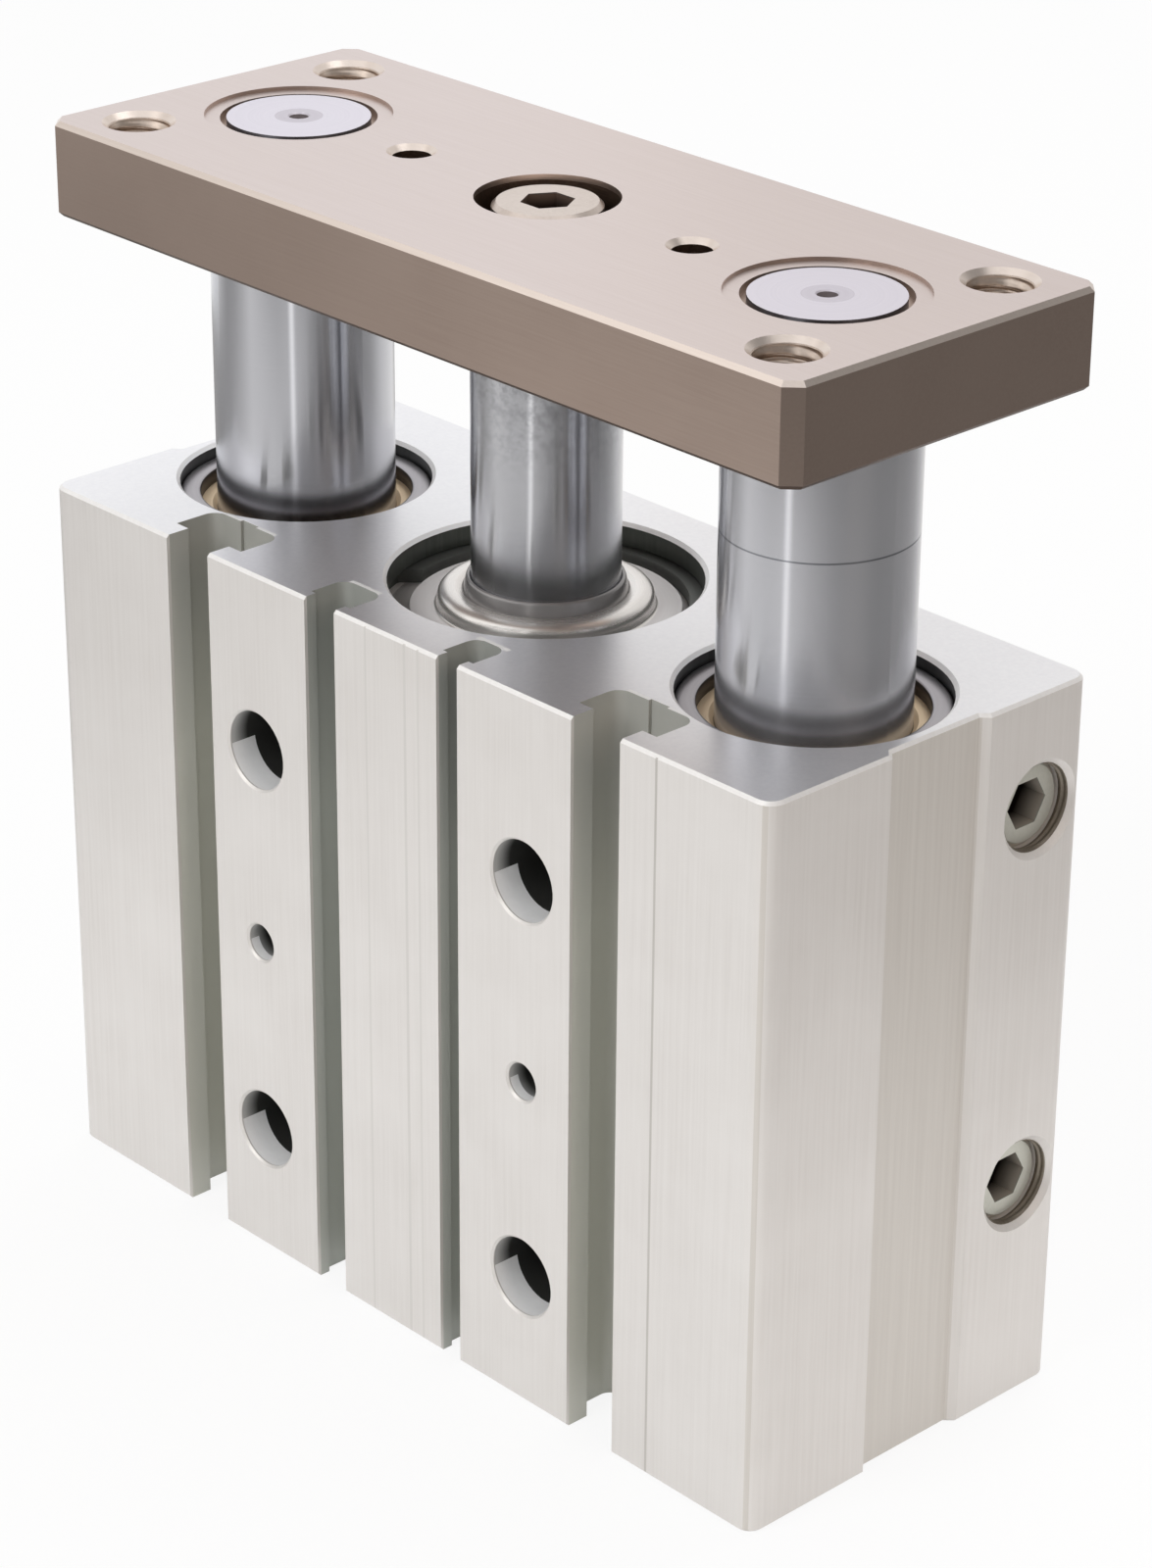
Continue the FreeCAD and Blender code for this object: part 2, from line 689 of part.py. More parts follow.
def make_piston(document, size, layout):
    """Piston with two hubs, a seal groove, a magnet groove and a nut pocket."""
    bore, low, high = size.bore * HALF, layout.piston_base, layout.piston_top
    skirt = bore - size.piston_clearance
    hub, hub_length = size.piston_hub * HALF, size.piston_hub_length
    stud = size.piston_stud * HALF + size.seat_clearance
    nut, land = size.nut_pocket * HALF, size.piston_land
    seal_low = low + hub_length + land
    seal_high = seal_low + size.seal_width
    magnet_low = high - hub_length - land - size.magnet_width
    magnet_high = magnet_low + size.magnet_width
    seal_floor, magnet_floor = bore - size.seal_depth, bore - size.magnet_depth
    turned(document, "piston", [
        (stud, low + size.nut_pocket_depth), (nut, low + size.nut_pocket_depth), (nut, low),
        (hub, low), (hub, low + hub_length), (skirt, low + hub_length), (skirt, seal_low),
        (seal_floor, seal_low), (seal_floor, seal_high), (skirt, seal_high),
        (skirt, magnet_low), (magnet_floor, magnet_low), (magnet_floor, magnet_high),
        (skirt, magnet_high), (skirt, high - hub_length), (hub, high - hub_length),
        (hub, high), (stud, high)])


def make_piston_trim(document, size, layout):
    """Piston seal, magnet, the two bumpers and the nut below."""
    bore, low, high = size.bore * HALF, layout.piston_base, layout.piston_top
    fit, run = size.seat_clearance, size.running_clearance
    hub_length, land, hub = size.piston_hub_length, size.piston_land, size.piston_hub * HALF
    seal_low = low + hub_length + land
    seal_high = seal_low + size.seal_width
    lip = size.piston_clearance - run
    seal_floor = bore - size.seal_depth + fit
    turned(document, "piston_seal", [
        (seal_floor, seal_low), (bore - run - lip, seal_low), (bore - run, seal_low + lip),
        (bore - run, seal_low + lip + land), (bore - run - lip, seal_low + size.seal_width * HALF),
        (bore - run, seal_high - lip - land), (bore - run, seal_high - lip),
        (bore - run - lip, seal_high), (seal_floor, seal_high)])
    magnet_high = high - hub_length - land
    magnet_low = magnet_high - size.magnet_width
    magnet_floor, magnet_rim = bore - size.magnet_depth + fit, bore - size.piston_clearance - fit
    turned(document, "piston_magnet", [
        (magnet_floor, magnet_low), (magnet_rim, magnet_low), (magnet_rim, magnet_high),
        (magnet_floor, magnet_high)])
    inner = hub - size.bumper_width
    for name, start, end in (("lower", low - size.bumper, low), ("upper", high, high + size.bumper)):
        turned(document, f"bumper_{name}", [(inner, start), (hub, start), (hub, end), (inner, end)])
    nut = new_body(document, "piston_nut")
    nut_base = low + size.nut_pocket_depth - size.nut_height
    outline = new_sketch(nut, "nut_outline", "XY_Plane", nut_base)
    draw_polygon(outline, 0, 0, size.nut_flats, HEXAGON_SIDES)
    draw_circle(outline, 0, 0, size.piston_stud + size.seat_clearance * 2)
    pad(nut, "nut_blank", outline, size.nut_height)


def make_rod_cover(document, size, layout):
    """Rod cover with its boss, seal seat and gasket groove."""
    rim = size.rod_cover_bore * HALF - size.seat_clearance
    rod = size.piston_rod * HALF + size.running_clearance
    boss, seat = size.cover_boss * HALF, size.rod_seal_seat * HALF
    low, face = layout.ceiling, layout.cover_face
    top = face + size.cover_boss_height
    groove_low = low + size.gasket_inset
    groove_high = groove_low + size.gasket_groove_width
    groove_floor = size.rod_cover_bore * HALF - size.gasket_wire - size.seat_clearance
    bevel = size.bore_bevel
    turned(document, "rod_cover", [
        (rod, low), (rim, low), (rim, groove_low), (groove_floor, groove_low),
        (groove_floor, groove_high), (rim, groove_high), (rim, face), (boss, face),
        (boss, top - bevel), (boss - bevel, top), (seat, top), (seat, top - size.rod_seal_depth),
        (rod, top - size.rod_seal_depth)])
    gasket_ring(document, "rod_cover_gasket",
              size.rod_cover_bore * HALF - size.gasket_wire * HALF - size.seat_clearance * HALF,
              groove_low + size.gasket_groove_width * HALF, size.gasket_wire)
    seal_low, seal_high = top - size.rod_seal_depth, top - size.rod_seal_sink
    seal_rim, lip = seat - size.seat_clearance, size.piston_rod * HALF + size.running_clearance
    throat, edge = size.rod_seal_throat, size.rod_seal_lip
    turned(document, "rod_seal", [
        (lip + throat, seal_low), (seal_rim, seal_low), (seal_rim, seal_high - throat),
        (lip + throat, seal_high - throat), (lip, seal_high), (lip, seal_high - edge),
        (lip + throat, seal_high - edge - throat)])


def make_head_cover(document, size, layout):
    """Head cover with its gasket groove and a dish in the outer face."""
    rim = size.head_cover_bore * HALF - size.seat_clearance
    low, high = layout.head_face, layout.floor
    groove_high = high - size.gasket_inset
    groove_low = groove_high - size.gasket_groove_width
    groove_floor = size.head_cover_bore * HALF - size.gasket_wire - size.seat_clearance
    dish, bevel = size.head_cover_dish * HALF, size.bore_bevel
    turned(document, "head_cover", [
        (0, low + size.head_cover_dish_depth), (dish, low + size.head_cover_dish_depth),
        (dish + bevel, low), (rim, low), (rim, groove_low), (groove_floor, groove_low),
        (groove_floor, groove_high), (rim, groove_high), (rim, high), (0, high)])
    gasket_ring(document, "head_cover_gasket",
              size.head_cover_bore * HALF - size.gasket_wire * HALF - size.seat_clearance * HALF,
              groove_low + size.gasket_groove_width * HALF, size.gasket_wire)


def make_retaining_ring(document, size, label, bore, base):
    """Sprung flat ring with an opening, which sits in the bore's groove."""
    outer = bore * HALF + size.ring_groove - size.seat_clearance
    inner = outer - size.ring_width
    body = new_body(document, label)
    sketch = new_sketch(body, f"{label}_profile", "XZ_Plane")
    draw_outline(sketch, [(inner, base), (outer, base), (outer, base + size.ring_thickness),
                          (inner, base + size.ring_thickness)])
    revolve(body, f"{label}_turning", sketch)
    opening = new_sketch(body, f"{label}_opening_outline", "XY_Plane", base + size.ring_thickness)
    half, past = size.ring_opening * HALF, outer + size.ring_width
    draw_outline(opening, [(-half, -past), (half, -past), (half, 0), (-half, 0)])
    pocket(body, f"{label}_opening", opening, size.ring_thickness)
    body.Placement.Rotation = FreeCAD.Rotation(UPRIGHT, -size.ring_turn.value)


def make_guide_bushes(document, size, layout):
    """Two bushes and the pressed ring above them in each guide bore."""
    inner = size.guide_rod * HALF + size.running_clearance
    outer, bevel = size.bush_outer * HALF - size.seat_clearance, size.bush_bevel
    mouth = size.guide_mouth * HALF - size.seat_clearance
    hole, edge = size.guide_ring_hole * HALF, size.guide_ring_bevel
    ring_base, ring_top = layout.bush_top, layout.bush_top + size.guide_ring_thickness
    for name, centre in (("left", -layout.guide_axis), ("right", layout.guide_axis)):
        places = (("upper", layout.bush_top - size.bush_length), ("lower", layout.lower_bush_base))
        for level, base in places:
            top = base + size.bush_length
            turned(document, f"guide_bush_{name}_{level}", [
                (inner, base), (outer - bevel, base), (outer, base + bevel), (outer, top),
                (inner + bevel, top), (inner, top - bevel)], across=centre)
        turned(document, f"guide_ring_{name}", [
            (hole, ring_base), (mouth, ring_base), (mouth, ring_top - edge),
            (mouth - edge, ring_top), (hole, ring_top)], across=centre)


def make_port_plugs(document, size, layout):
    """Socket plugs that close the two side ports."""
    radius = size.port_thread * HALF - size.seat_clearance
    face = layout.side - size.plug_sink
    bevel = size.port_bevel
    for name, height in (("upper", layout.upper_port), ("lower", layout.lower_port)):
        body = new_body(document, f"port_plug_{name}")
        sketch = new_sketch(body, f"plug_{name}_profile", "XZ_Plane")
        back = face - size.plug_length
        draw_outline(sketch, [(back, 0), (face, 0), (face, radius - bevel),
                              (face - bevel, radius), (back, radius)])
        revolve(body, f"plug_{name}_turning", sketch, axis="H_Axis")
        socket = new_sketch(body, f"plug_{name}_socket_outline", "YZ_Plane", face)
        draw_polygon(socket, 0, 0, size.plug_socket, HEXAGON_SIDES)
        pocket(body, f"plug_{name}_socket", socket, size.plug_socket_depth)
        place(body, depth=size.port_offset, height=height)


def build(document):
    """Model every sub-part of the cylinder."""
    size = Sheet(document, SIZES)
    layout = Layout(size)
    make_body(document, size, layout)
    make_plate(document, size, layout)
    make_guide_rod(document, size, layout, "left", -layout.guide_axis)
    make_guide_rod(document, size, layout, "right", layout.guide_axis)
    make_piston_rod(document, size, layout)
    make_plate_screw(document, size, layout)
    make_piston(document, size, layout)
    make_piston_trim(document, size, layout)
    make_rod_cover(document, size, layout)
    make_head_cover(document, size, layout)
    head_ring_base = layout.head_face - size.ring_thickness
    make_retaining_ring(document, size, "rod_cover_ring", size.rod_cover_bore, layout.cover_face)
    make_retaining_ring(document, size, "head_cover_ring", size.head_cover_bore, head_ring_base)
    make_guide_bushes(document, size, layout)
    make_port_plugs(document, size, layout)
    document.recompute()


def check(document):
    """Stop if any object failed or any sub-part is not one sound solid."""
    for thing in document.Objects:
        if {"Invalid", "Error"} & set(thing.State):
            raise RuntimeError(f"{thing.Name} failed: {thing.State}")
    for body in sub_parts(document):
        shape = body.Shape
        if shape.isNull() or not shape.isValid() or len(shape.Solids) != 1:
            raise RuntimeError(f"{body.Label} is not one valid solid")


def sub_parts(document):
    """List the finished sub-parts."""
    return [thing for thing in document.Objects if thing.TypeId == "PartDesign::Body"]


def export(document, folder="parts"):
    """Write one file for each sub-part."""
    os.makedirs(folder, exist_ok=True)
    for body in sub_parts(document):
        body.Shape.exportStep(f"{folder}/{body.Label}.step")
        print(f"{body.Label}: {body.Shape.Volume / 1000:.2f} cm3")


cylinder = FreeCAD.newDocument("guided_cylinder")
build(cylinder)
check(cylinder)
export(cylinder)
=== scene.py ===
"""Looks of a guided pneumatic cylinder: finishes, cut threads, studio and camera.

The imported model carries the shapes. This script gives every node the finish of the real
piece, cuts the threads that the model leaves plain, and sets the part in a pale studio.
"""

import logging
import math
from dataclasses import dataclass, field, replace
from enum import Enum
from typing import Any, Dict, List, Optional, Sequence, Tuple, Union

import bmesh
import bpy
from mathutils import Matrix, Vector


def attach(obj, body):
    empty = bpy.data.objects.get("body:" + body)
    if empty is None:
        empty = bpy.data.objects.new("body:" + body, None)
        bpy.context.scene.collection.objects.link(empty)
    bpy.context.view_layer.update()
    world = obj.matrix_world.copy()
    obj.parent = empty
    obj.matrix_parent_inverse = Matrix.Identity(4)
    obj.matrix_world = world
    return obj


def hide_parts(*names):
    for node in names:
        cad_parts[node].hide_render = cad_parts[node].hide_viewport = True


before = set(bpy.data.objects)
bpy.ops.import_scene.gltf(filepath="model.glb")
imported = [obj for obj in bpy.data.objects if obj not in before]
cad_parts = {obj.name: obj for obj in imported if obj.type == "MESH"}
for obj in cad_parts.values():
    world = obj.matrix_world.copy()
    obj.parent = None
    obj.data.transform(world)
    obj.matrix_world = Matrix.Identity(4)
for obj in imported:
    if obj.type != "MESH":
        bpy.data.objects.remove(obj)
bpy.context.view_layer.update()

MM = 0.001
MM_PER_M = 1000.0
FULL_TURN = 2.0 * math.pi
FULL_TURN_DEG = 360.0
PHOTO_HEIGHT_PX = 1600.0
GUIDE_AXIS_MM = 39.5

Point = Tuple[float, float, float]
Pairs = Tuple[Tuple[float, float], ...]
Input = Union[float, bpy.types.NodeSocket]

log = logging.getLogger("guided_cylinder")


def linear(colour: str, alpha: float = 1.0) -> Tuple[float, float, float, float]:
    """Turn an sRGB hex colour into linear values.

    Args:
        colour: six hex digits after a hash sign.
        alpha: opacity from 0 to 1.

    Returns:
        Red, green, blue and alpha, the first three linear.
    """
    channels = [int(colour[start:start + 2], 16) / 255.0 for start in (1, 3, 5)]
    red, green, blue = (value / 12.92 if value <= 0.04045 else ((value + 0.055) / 1.055) ** 2.4
                        for value in channels)
    return red, green, blue, alpha


def add_node(tree: bpy.types.NodeTree, kind: str, sockets: Optional[Dict[Any, Any]] = None,
             **settings: Any) -> bpy.types.Node:
    """Add a node with its settings and links.

    Args:
        tree: the node tree to add it to.
        kind: the node's type name.
        sockets: input name or number to a value, or to an output to link from.
        settings: properties of the node itself.

    Returns:
        The new node.
    """
    node = tree.nodes.new(kind)
    for name, value in settings.items():
        setattr(node, name, value)
    for name, value in (sockets or {}).items():
        if isinstance(value, bpy.types.NodeSocket):
            tree.links.new(value, node.inputs[name])
        else:
            node.inputs[name].default_value = value
    return node


def calculate(tree: bpy.types.NodeTree, operation: str, *values: Input) -> bpy.types.NodeSocket:
    """Work something out from numbers.

    Args:
        tree: the node tree to add the step to.
        operation: the Math node's name for it.
        values: its inputs in order, each a number or an output to link from.

    Returns:
        The result.
    """
    node = add_node(tree, "ShaderNodeMath", dict(enumerate(values)), operation=operation)
    return node.outputs["Value"]


def blend(tree: bpy.types.NodeTree, share: Input, first: Any, second: Any,
          kind: str = "FLOAT") -> bpy.types.NodeSocket:
    """Mix two numbers or two colours.

    Args:
        tree: the node tree to add the mix to.
        share: how much of the second there is, from 0 to 1.
        first: a value, or an output to link from.
        second: the same.
        kind: FLOAT for numbers, RGBA for colours.

    Returns:
        The mix.
    """
    node = add_node(tree, "ShaderNodeMix", {"Factor": share, "A": first, "B": second},
                    data_type=kind)
    return node.outputs["Result"]


class Group(Enum):
    """The two bodies of the frame that a piece can ride on."""

    HOUSING = "housing"
    CARRIAGE = "carriage"


class Grain(Enum):
    """Which way a surface's tool or die marks run.

    Each value says how fast they change along X, Y and Z.
    """

    ALONG_Z = (1.0, 1.0, 0.02)
    ALONG_X = (0.02, 1.0, 1.0)
    EVEN = (1.0, 1.0, 1.0)


class Measure(Enum):
    """What the bounds of a zone are given in: millimetres, or a share of a normal."""

    X = "across the width"
    Y = "from front to back"
    Z = "above the base"
    SIDE = "from the middle plane, to either side"
    CENTRE = "from the bore's axis"
    GUIDE = "from the nearer guide rod's axis"
    LEVEL = "how level the surface lies"


@dataclass
class Surface:
    """The shader inputs of one finish while it is put together."""

    tree: bpy.types.NodeTree
    place: bpy.types.NodeSocket
    measures: Dict[Measure, bpy.types.NodeSocket]
    marks: bpy.types.NodeSocket
    colour: bpy.types.NodeSocket
    rough: bpy.types.NodeSocket
    metal: Input


@dataclass(frozen=True)
class Zone:
    """A part of a surface that was made, or has worn, differently from the rest.

    Each bound is a measure with its lowest and highest value. The tone turns to the shade
    with the tool marks, or along a measure where a fade is given.
    """

    bounds: Tuple[Tuple[Measure, float, float], ...]
    tone: str
    shade: str
    roughness: float
    metallic: float
    fade: Optional[Tuple[Measure, float, float]] = None

    def lay(self, surface: Surface) -> None:
        """Lay the zone over a surface.

        Args:
            surface: the surface that it changes.
        """
        tree = surface.tree
        cover: Input = 1.0
        for measure, low, high in self.bounds:
            inside = calculate(tree, "COMPARE", surface.measures[measure],
                               (low + high) / 2.0, (high - low) / 2.0)
            cover = calculate(tree, "MULTIPLY", inside, cover)
        turn = surface.marks
        if self.fade:
            measure, start, end = self.fade
            faded = add_node(tree, "ShaderNodeMapRange", {
                "Value": surface.measures[measure], "From Min": start, "From Max": end})
            turn = faded.outputs["Result"]
        own = blend(tree, turn, linear(self.tone), linear(self.shade), "RGBA")
        surface.colour = blend(tree, cover, surface.colour, own, "RGBA")
        surface.rough = blend(tree, cover, surface.rough, self.roughness)
        if surface.metal != self.metallic:
            surface.metal = blend(tree, cover, surface.metal, self.metallic)


@dataclass(frozen=True)
class Finish:
    """A surface: what it is made of, how it was made, and the marks that this leaves.

    Every pattern is laid out in millimetres on the piece itself, so it moves with it.
    """

    name: str
    tone: str
    shade: str
    metallic: float
    roughness: float
    grain: Grain = Grain.EVEN
    grain_mm: float = 0.4
    relief_mm: float = 0.004
    roughness_swing: float = 0.06
    mottle_mm: float = 12.0
    stretch: float = 0.0
    flat_stretch: float = 0.0
    stretch_turns: float = 0.25
    detail: float = 3.0
    harshness: float = 0.6
    zones: Tuple[Zone, ...] = ()

    def material(self) -> bpy.types.Material:
        """Build the finish.

        Returns:
            The new material.
        """
        made = bpy.data.materials.new(self.name)
        made.use_nodes = True
        tree = made.node_tree
        tree.nodes.clear()
        surface = self.surface(tree)
        self.wear(surface)
        for zone in self.zones:
            zone.lay(surface)
        bump = add_node(tree, "ShaderNodeBump", {
            "Height": surface.marks, "Strength": 1.0, "Distance": self.relief_mm * MM})
        shader = add_node(tree, "ShaderNodeBsdfPrincipled", {
            "Base Color": surface.colour, "Roughness": surface.rough,
            "Metallic": surface.metal, "Normal": bump.outputs["Normal"]})
        if self.stretch:
            around = add_node(tree, "ShaderNodeTangent", direction_type="RADIAL", axis="Z")
            tree.links.new(around.outputs["Tangent"], shader.inputs["Tangent"])
            if self.flat_stretch == self.stretch:
                shader.inputs["Anisotropic"].default_value = self.stretch
            else:
                tree.links.new(self.pull(surface), shader.inputs["Anisotropic"])
            shader.inputs["Anisotropic Rotation"].default_value = self.stretch_turns
        add_node(tree, "ShaderNodeOutputMaterial", {"Surface": shader.outputs["BSDF"]})
        return made

    def surface(self, tree: bpy.types.NodeTree) -> Surface:
        """Lay tone, shade and roughness over the marks.

        Args:
            tree: the material's node tree.

        Returns:
            The inputs for the shader.
        """
        where = add_node(tree, "ShaderNodeTexCoord")
        scaled = add_node(tree, "ShaderNodeVectorMath", {
            0: where.outputs["Object"], "Scale": MM_PER_M}, operation="SCALE")
        place = scaled.outputs["Vector"]
        measures = self.measures(tree, place, where.outputs["Normal"])
        marks = self.marks(tree, place, measures)
        mottle = add_node(tree, "ShaderNodeTexNoise", {
            "Vector": place, "Scale": 1.0 / self.mottle_mm, "Detail": self.detail})
        both = calculate(tree, "MULTIPLY", mottle.outputs["Fac"], marks)
        colour = blend(tree, both, linear(self.tone), linear(self.shade), "RGBA")
        rough = add_node(tree, "ShaderNodeMapRange", {
            "Value": marks, "To Min": self.roughness - self.roughness_swing,
            "To Max": self.roughness + self.roughness_swing})
        return Surface(tree, place, measures, marks, colour, rough.outputs["Result"],
                       self.metallic)

    @staticmethod
    def measures(tree: bpy.types.NodeTree, place: bpy.types.NodeSocket,
                 normal: bpy.types.NodeSocket) -> Dict[Measure, bpy.types.NodeSocket]:
        """Work out what zones are bounded by.

        Args:
            tree: the material's node tree.
            place: the place on the piece in millimetres.
            normal: the surface's own normal.

        Returns:
            A socket for each measure.
        """
        apart = add_node(tree, "ShaderNodeSeparateXYZ", {0: place})
        turned = add_node(tree, "ShaderNodeSeparateXYZ", {0: normal})
        side = calculate(tree, "ABSOLUTE", apart.outputs["X"])
        beside = calculate(tree, "SUBTRACT", side, GUIDE_AXIS_MM)
        level = calculate(tree, "ABSOLUTE", turned.outputs["Z"])
        found = {Measure.X: apart.outputs["X"], Measure.Y: apart.outputs["Y"],
                 Measure.Z: apart.outputs["Z"], Measure.SIDE: side, Measure.LEVEL: level}
        for measure, across in ((Measure.CENTRE, side), (Measure.GUIDE, beside)):
            flat = add_node(tree, "ShaderNodeCombineXYZ", {
                "X": across, "Y": apart.outputs["Y"]})
            reach = add_node(tree, "ShaderNodeVectorMath", {0: flat.outputs["Vector"]},
                             operation="LENGTH")
            found[measure] = reach.outputs["Value"]
        return found

    def marks(self, tree: bpy.types.NodeTree, place: bpy.types.NodeSocket,
              measures: Dict[Measure, bpy.types.NodeSocket]) -> bpy.types.NodeSocket:
        """Draw the tool marks as noise stretched along the grain.

        Args:
            tree: the material's node tree.
            place: the place on the piece in millimetres.
            measures: what zones are bounded by, for marks that run round an axis.

        Returns:
            How deep the marks are, from 0 to 1.
        """
        stretched = add_node(tree, "ShaderNodeVectorMath", {
            0: place, 1: tuple(value / self.grain_mm for value in self.grain.value)},
            operation="MULTIPLY")
        noise = add_node(tree, "ShaderNodeTexNoise", {
            "Vector": stretched.outputs["Vector"], "Scale": 1.0, "Detail": self.detail,
            "Roughness": self.harshness})
        return noise.outputs["Fac"]

    def wear(self, surface: Surface) -> None:
        """Leave the surface as it was made. Finishes that wear say how."""

    def pull(self, surface: Surface) -> bpy.types.NodeSocket:
        """Stretch highlights across the marks on walls, and hardly on flat ends.

        Args:
            surface: the surface that it is for.

        Returns:
            The stretch from 0 to 1.
        """
        return calculate(surface.tree, "MULTIPLY_ADD", surface.measures[Measure.LEVEL],
                         self.flat_stretch - self.stretch, self.stretch)


@dataclass(frozen=True)
class TurnedFinish(Finish):
    """A finish whose marks run round an upright axis, as a lathe or a grinder leaves them."""

    axis: Measure = Measure.CENTRE

    def marks(self, tree: bpy.types.NodeTree, place: bpy.types.NodeSocket,
              measures: Dict[Measure, bpy.types.NodeSocket]) -> bpy.types.NodeSocket:
        """Draw the tool marks as rings about the axis.

        Args:
            tree: the material's node tree.
            place: the place on the piece in millimetres, which rings don't need.
            measures: what zones are bounded by.

        Returns:
            How deep the marks are, from 0 to 1.
        """
        rings = add_node(tree, "ShaderNodeCombineXYZ", {
            "X": measures[self.axis], "Y": measures[Measure.Z]})
        noise = add_node(tree, "ShaderNodeTexNoise", {
            "Vector": rings.outputs["Vector"], "Scale": 1.0 / self.grain_mm,
            "Detail": self.detail, "Roughness": self.harshness})
        return noise.outputs["Fac"]


@dataclass(frozen=True)
class RodFinish(TurnedFinish):
    """A polished rod, which may be scuffed near its top."""

    scuff_share: float = 0.0
    scuff_from_mm: float = 96.0
    scuff_to_mm: float = 112.0
    scuff_least: float = 0.04
    scuff_mm: float = 1.1
    scuff_detail: float = 4.0
    scuff_harshness: float = 0.7
    scuff_noise: Tuple[float, float] = (0.42, 0.62)
    scuff_tone: str = "#7C7C80"
    scuff_roughness: float = 0.36

    def wear(self, surface: Surface) -> None:
        """Scuff the upper part.

        Args:
            surface: the surface that it changes.
        """
        tree = surface.tree
        rise = add_node(tree, "ShaderNodeMapRange", {
            "Value": surface.measures[Measure.Z], "From Min": self.scuff_from_mm,
            "From Max": self.scuff_to_mm, "To Min": self.scuff_least, "To Max": 1.0})
        blots = add_node(tree, "ShaderNodeTexNoise", {
            "Vector": surface.place, "Scale": 1.0 / self.scuff_mm,
            "Detail": self.scuff_detail, "Roughness": self.scuff_harshness})
        least, most = self.scuff_noise
        patchy = add_node(tree, "ShaderNodeMapRange", {
            "Value": blots.outputs["Fac"], "From Min": least, "From Max": most,
            "To Max": self.scuff_share})
        scuff = calculate(tree, "MULTIPLY", rise.outputs["Result"], patchy.outputs["Result"])
        surface.colour = blend(tree, scuff, surface.colour, linear(self.scuff_tone), "RGBA")
        surface.rough = blend(tree, scuff, surface.rough, self.scuff_roughness)


# Places on the pieces, as bounds of the zones below
FACING_UP = (Measure.LEVEL, 0.9, 1.1)
TOP_FACE = (FACING_UP, (Measure.Z, 82.8, 83.2))
FRONT_FACE = (Measure.Y, -23.1, -22.9)
BORED = ((Measure.LEVEL, -0.1, 0.3), (Measure.Z, 60.0, 83.1))
EASED = ((Measure.LEVEL, 0.25, 0.9), (Measure.Z, 82.3, 83.1))
TSLOTS = ((Measure.SIDE, 26.4, 37.6), (Measure.Y, -22.6, -13.9))
SENSOR_GROOVES = ((Measure.SIDE, 6.8, 13.2), (Measure.Y, -22.6, -16.4))
DRILLED = (Measure.SIDE, 16.3, 26.3)
DRILLED_MOUTH = (Measure.Y, -22.6, -19.4)
PLATE_DEPTH = (Measure.Z, 100.0, 124.0)
ROD_END = (Measure.Z, 123.0, 125.0)

# Extruded aluminium, etched and clear anodised: a pale matt skin with faint die lines,
# which are a tenth of a millimetre apart and drawn at half a millimetre to show
ANODISED = Finish(
    "clear_anodised_aluminium", "#E4E1DE", "#CBC6C1", 0.42, 0.46, Grain.ALONG_Z, 0.5, 0.003,
    zones=(
        # The sunk middle of each end is a shade darker than its edges
        Zone(((Measure.SIDE, 54.8, 55.3),), "#DAD6D0", "#CAC5BF", 0.46, 0.42),
        # The slots' walls are painted greyer and a little green as painted shade, and darker
        # still towards the top against the lamps' light at the mouth
        Zone(TSLOTS, "#AAAAA4", "#D0D0C8", 0.5, 0.15, fade=(Measure.Z, 83.0, 58.0)),
        Zone(SENSOR_GROOVES, "#9EA09B", "#C2C4BE", 0.5, 0.15,
             fade=(Measure.Z, 83.0, 58.0)),
        # The drilled holes are bright at the mouth and painted dark further in, as painted shade
        Zone((DRILLED, (Measure.Y, -22.6, 22.4)), "#C8C8C6", "#383836", 0.4, 0.15,
             fade=(Measure.Y, -22.3, -20.4)),
        # Their lower walls near the mouth are painted white, as painted light from the lamp
        # shining in
        *(Zone(bounds, "#FFFFFF", "#F6F6F6", 0.4, 0.0) for bounds in (
            (DRILLED, DRILLED_MOUTH, (Measure.Z, 10.6, 14.6)),
            (DRILLED, DRILLED_MOUTH, (Measure.Z, 57.5, 61.5)),
            ((Measure.SIDE, 18.0, 24.5), (Measure.Y, -22.6, -21.5), (Measure.Z, 36.6, 38.5)))),
        # The edges round the top are broken, and painted bright as a painted highlight, whitest
        # round the bores
        Zone(EASED, "#F4F3F2", "#E6E4E2", 0.4, 0.42),
        *(Zone(EASED + (bore,), "#FFFFFF", "#FBFBFC", 0.4, 0.1)
          for bore in ((Measure.CENTRE, 0.0, 17.6), (Measure.GUIDE, 0.0, 14.8))),
        # The bored seats are bare metal, painted dark as painted shade inside the bores
        Zone(BORED + ((Measure.CENTRE, 0.0, 17.9),), "#565A54", "#3E423E", 0.36, 0.5),
        Zone(BORED + ((Measure.GUIDE, 0.0, 14.6),), "#4A4C4C", "#333534", 0.36, 0.5),
        # The milled ends are cooler and reflect more
        Zone(TOP_FACE, "#F4F4F6", "#E6E6EA", 0.32, 0.85),
        Zone((FACING_UP, (Measure.Z, -0.2, 0.2)), "#EDEDF0", "#DBDBDF", 0.32, 0.85),
        # A bright line is painted along the back edge of each slot, as a painted highlight
        *(Zone(TOP_FACE + highlight_strip, "#FBFBFA", "#F2F2F2", 0.5, 0.2) for highlight_strip in (
            ((Measure.SIDE, 27.5, 36.5), (Measure.Y, -14.7, -14.0)),
            ((Measure.SIDE, 7.6, 12.4), (Measure.Y, -16.9, -16.2)))),
        # Lines that the die left down the front: one clear, three faint
        *(Zone((FRONT_FACE, (Measure.X, start, end)), tone, shade, 0.5, 0.42)
          for start, end, tone, shade in (
              (40.44, 40.76, "#C8C4BF", "#BAB6B1"), (-2.8, -2.5, "#DCD9D5", "#D2CFCB"),
              (3.3, 3.7, "#DAD7D3", "#D0CDC9"), (5.4, 5.7, "#DCD9D5", "#D2CFCB"))),
    ))
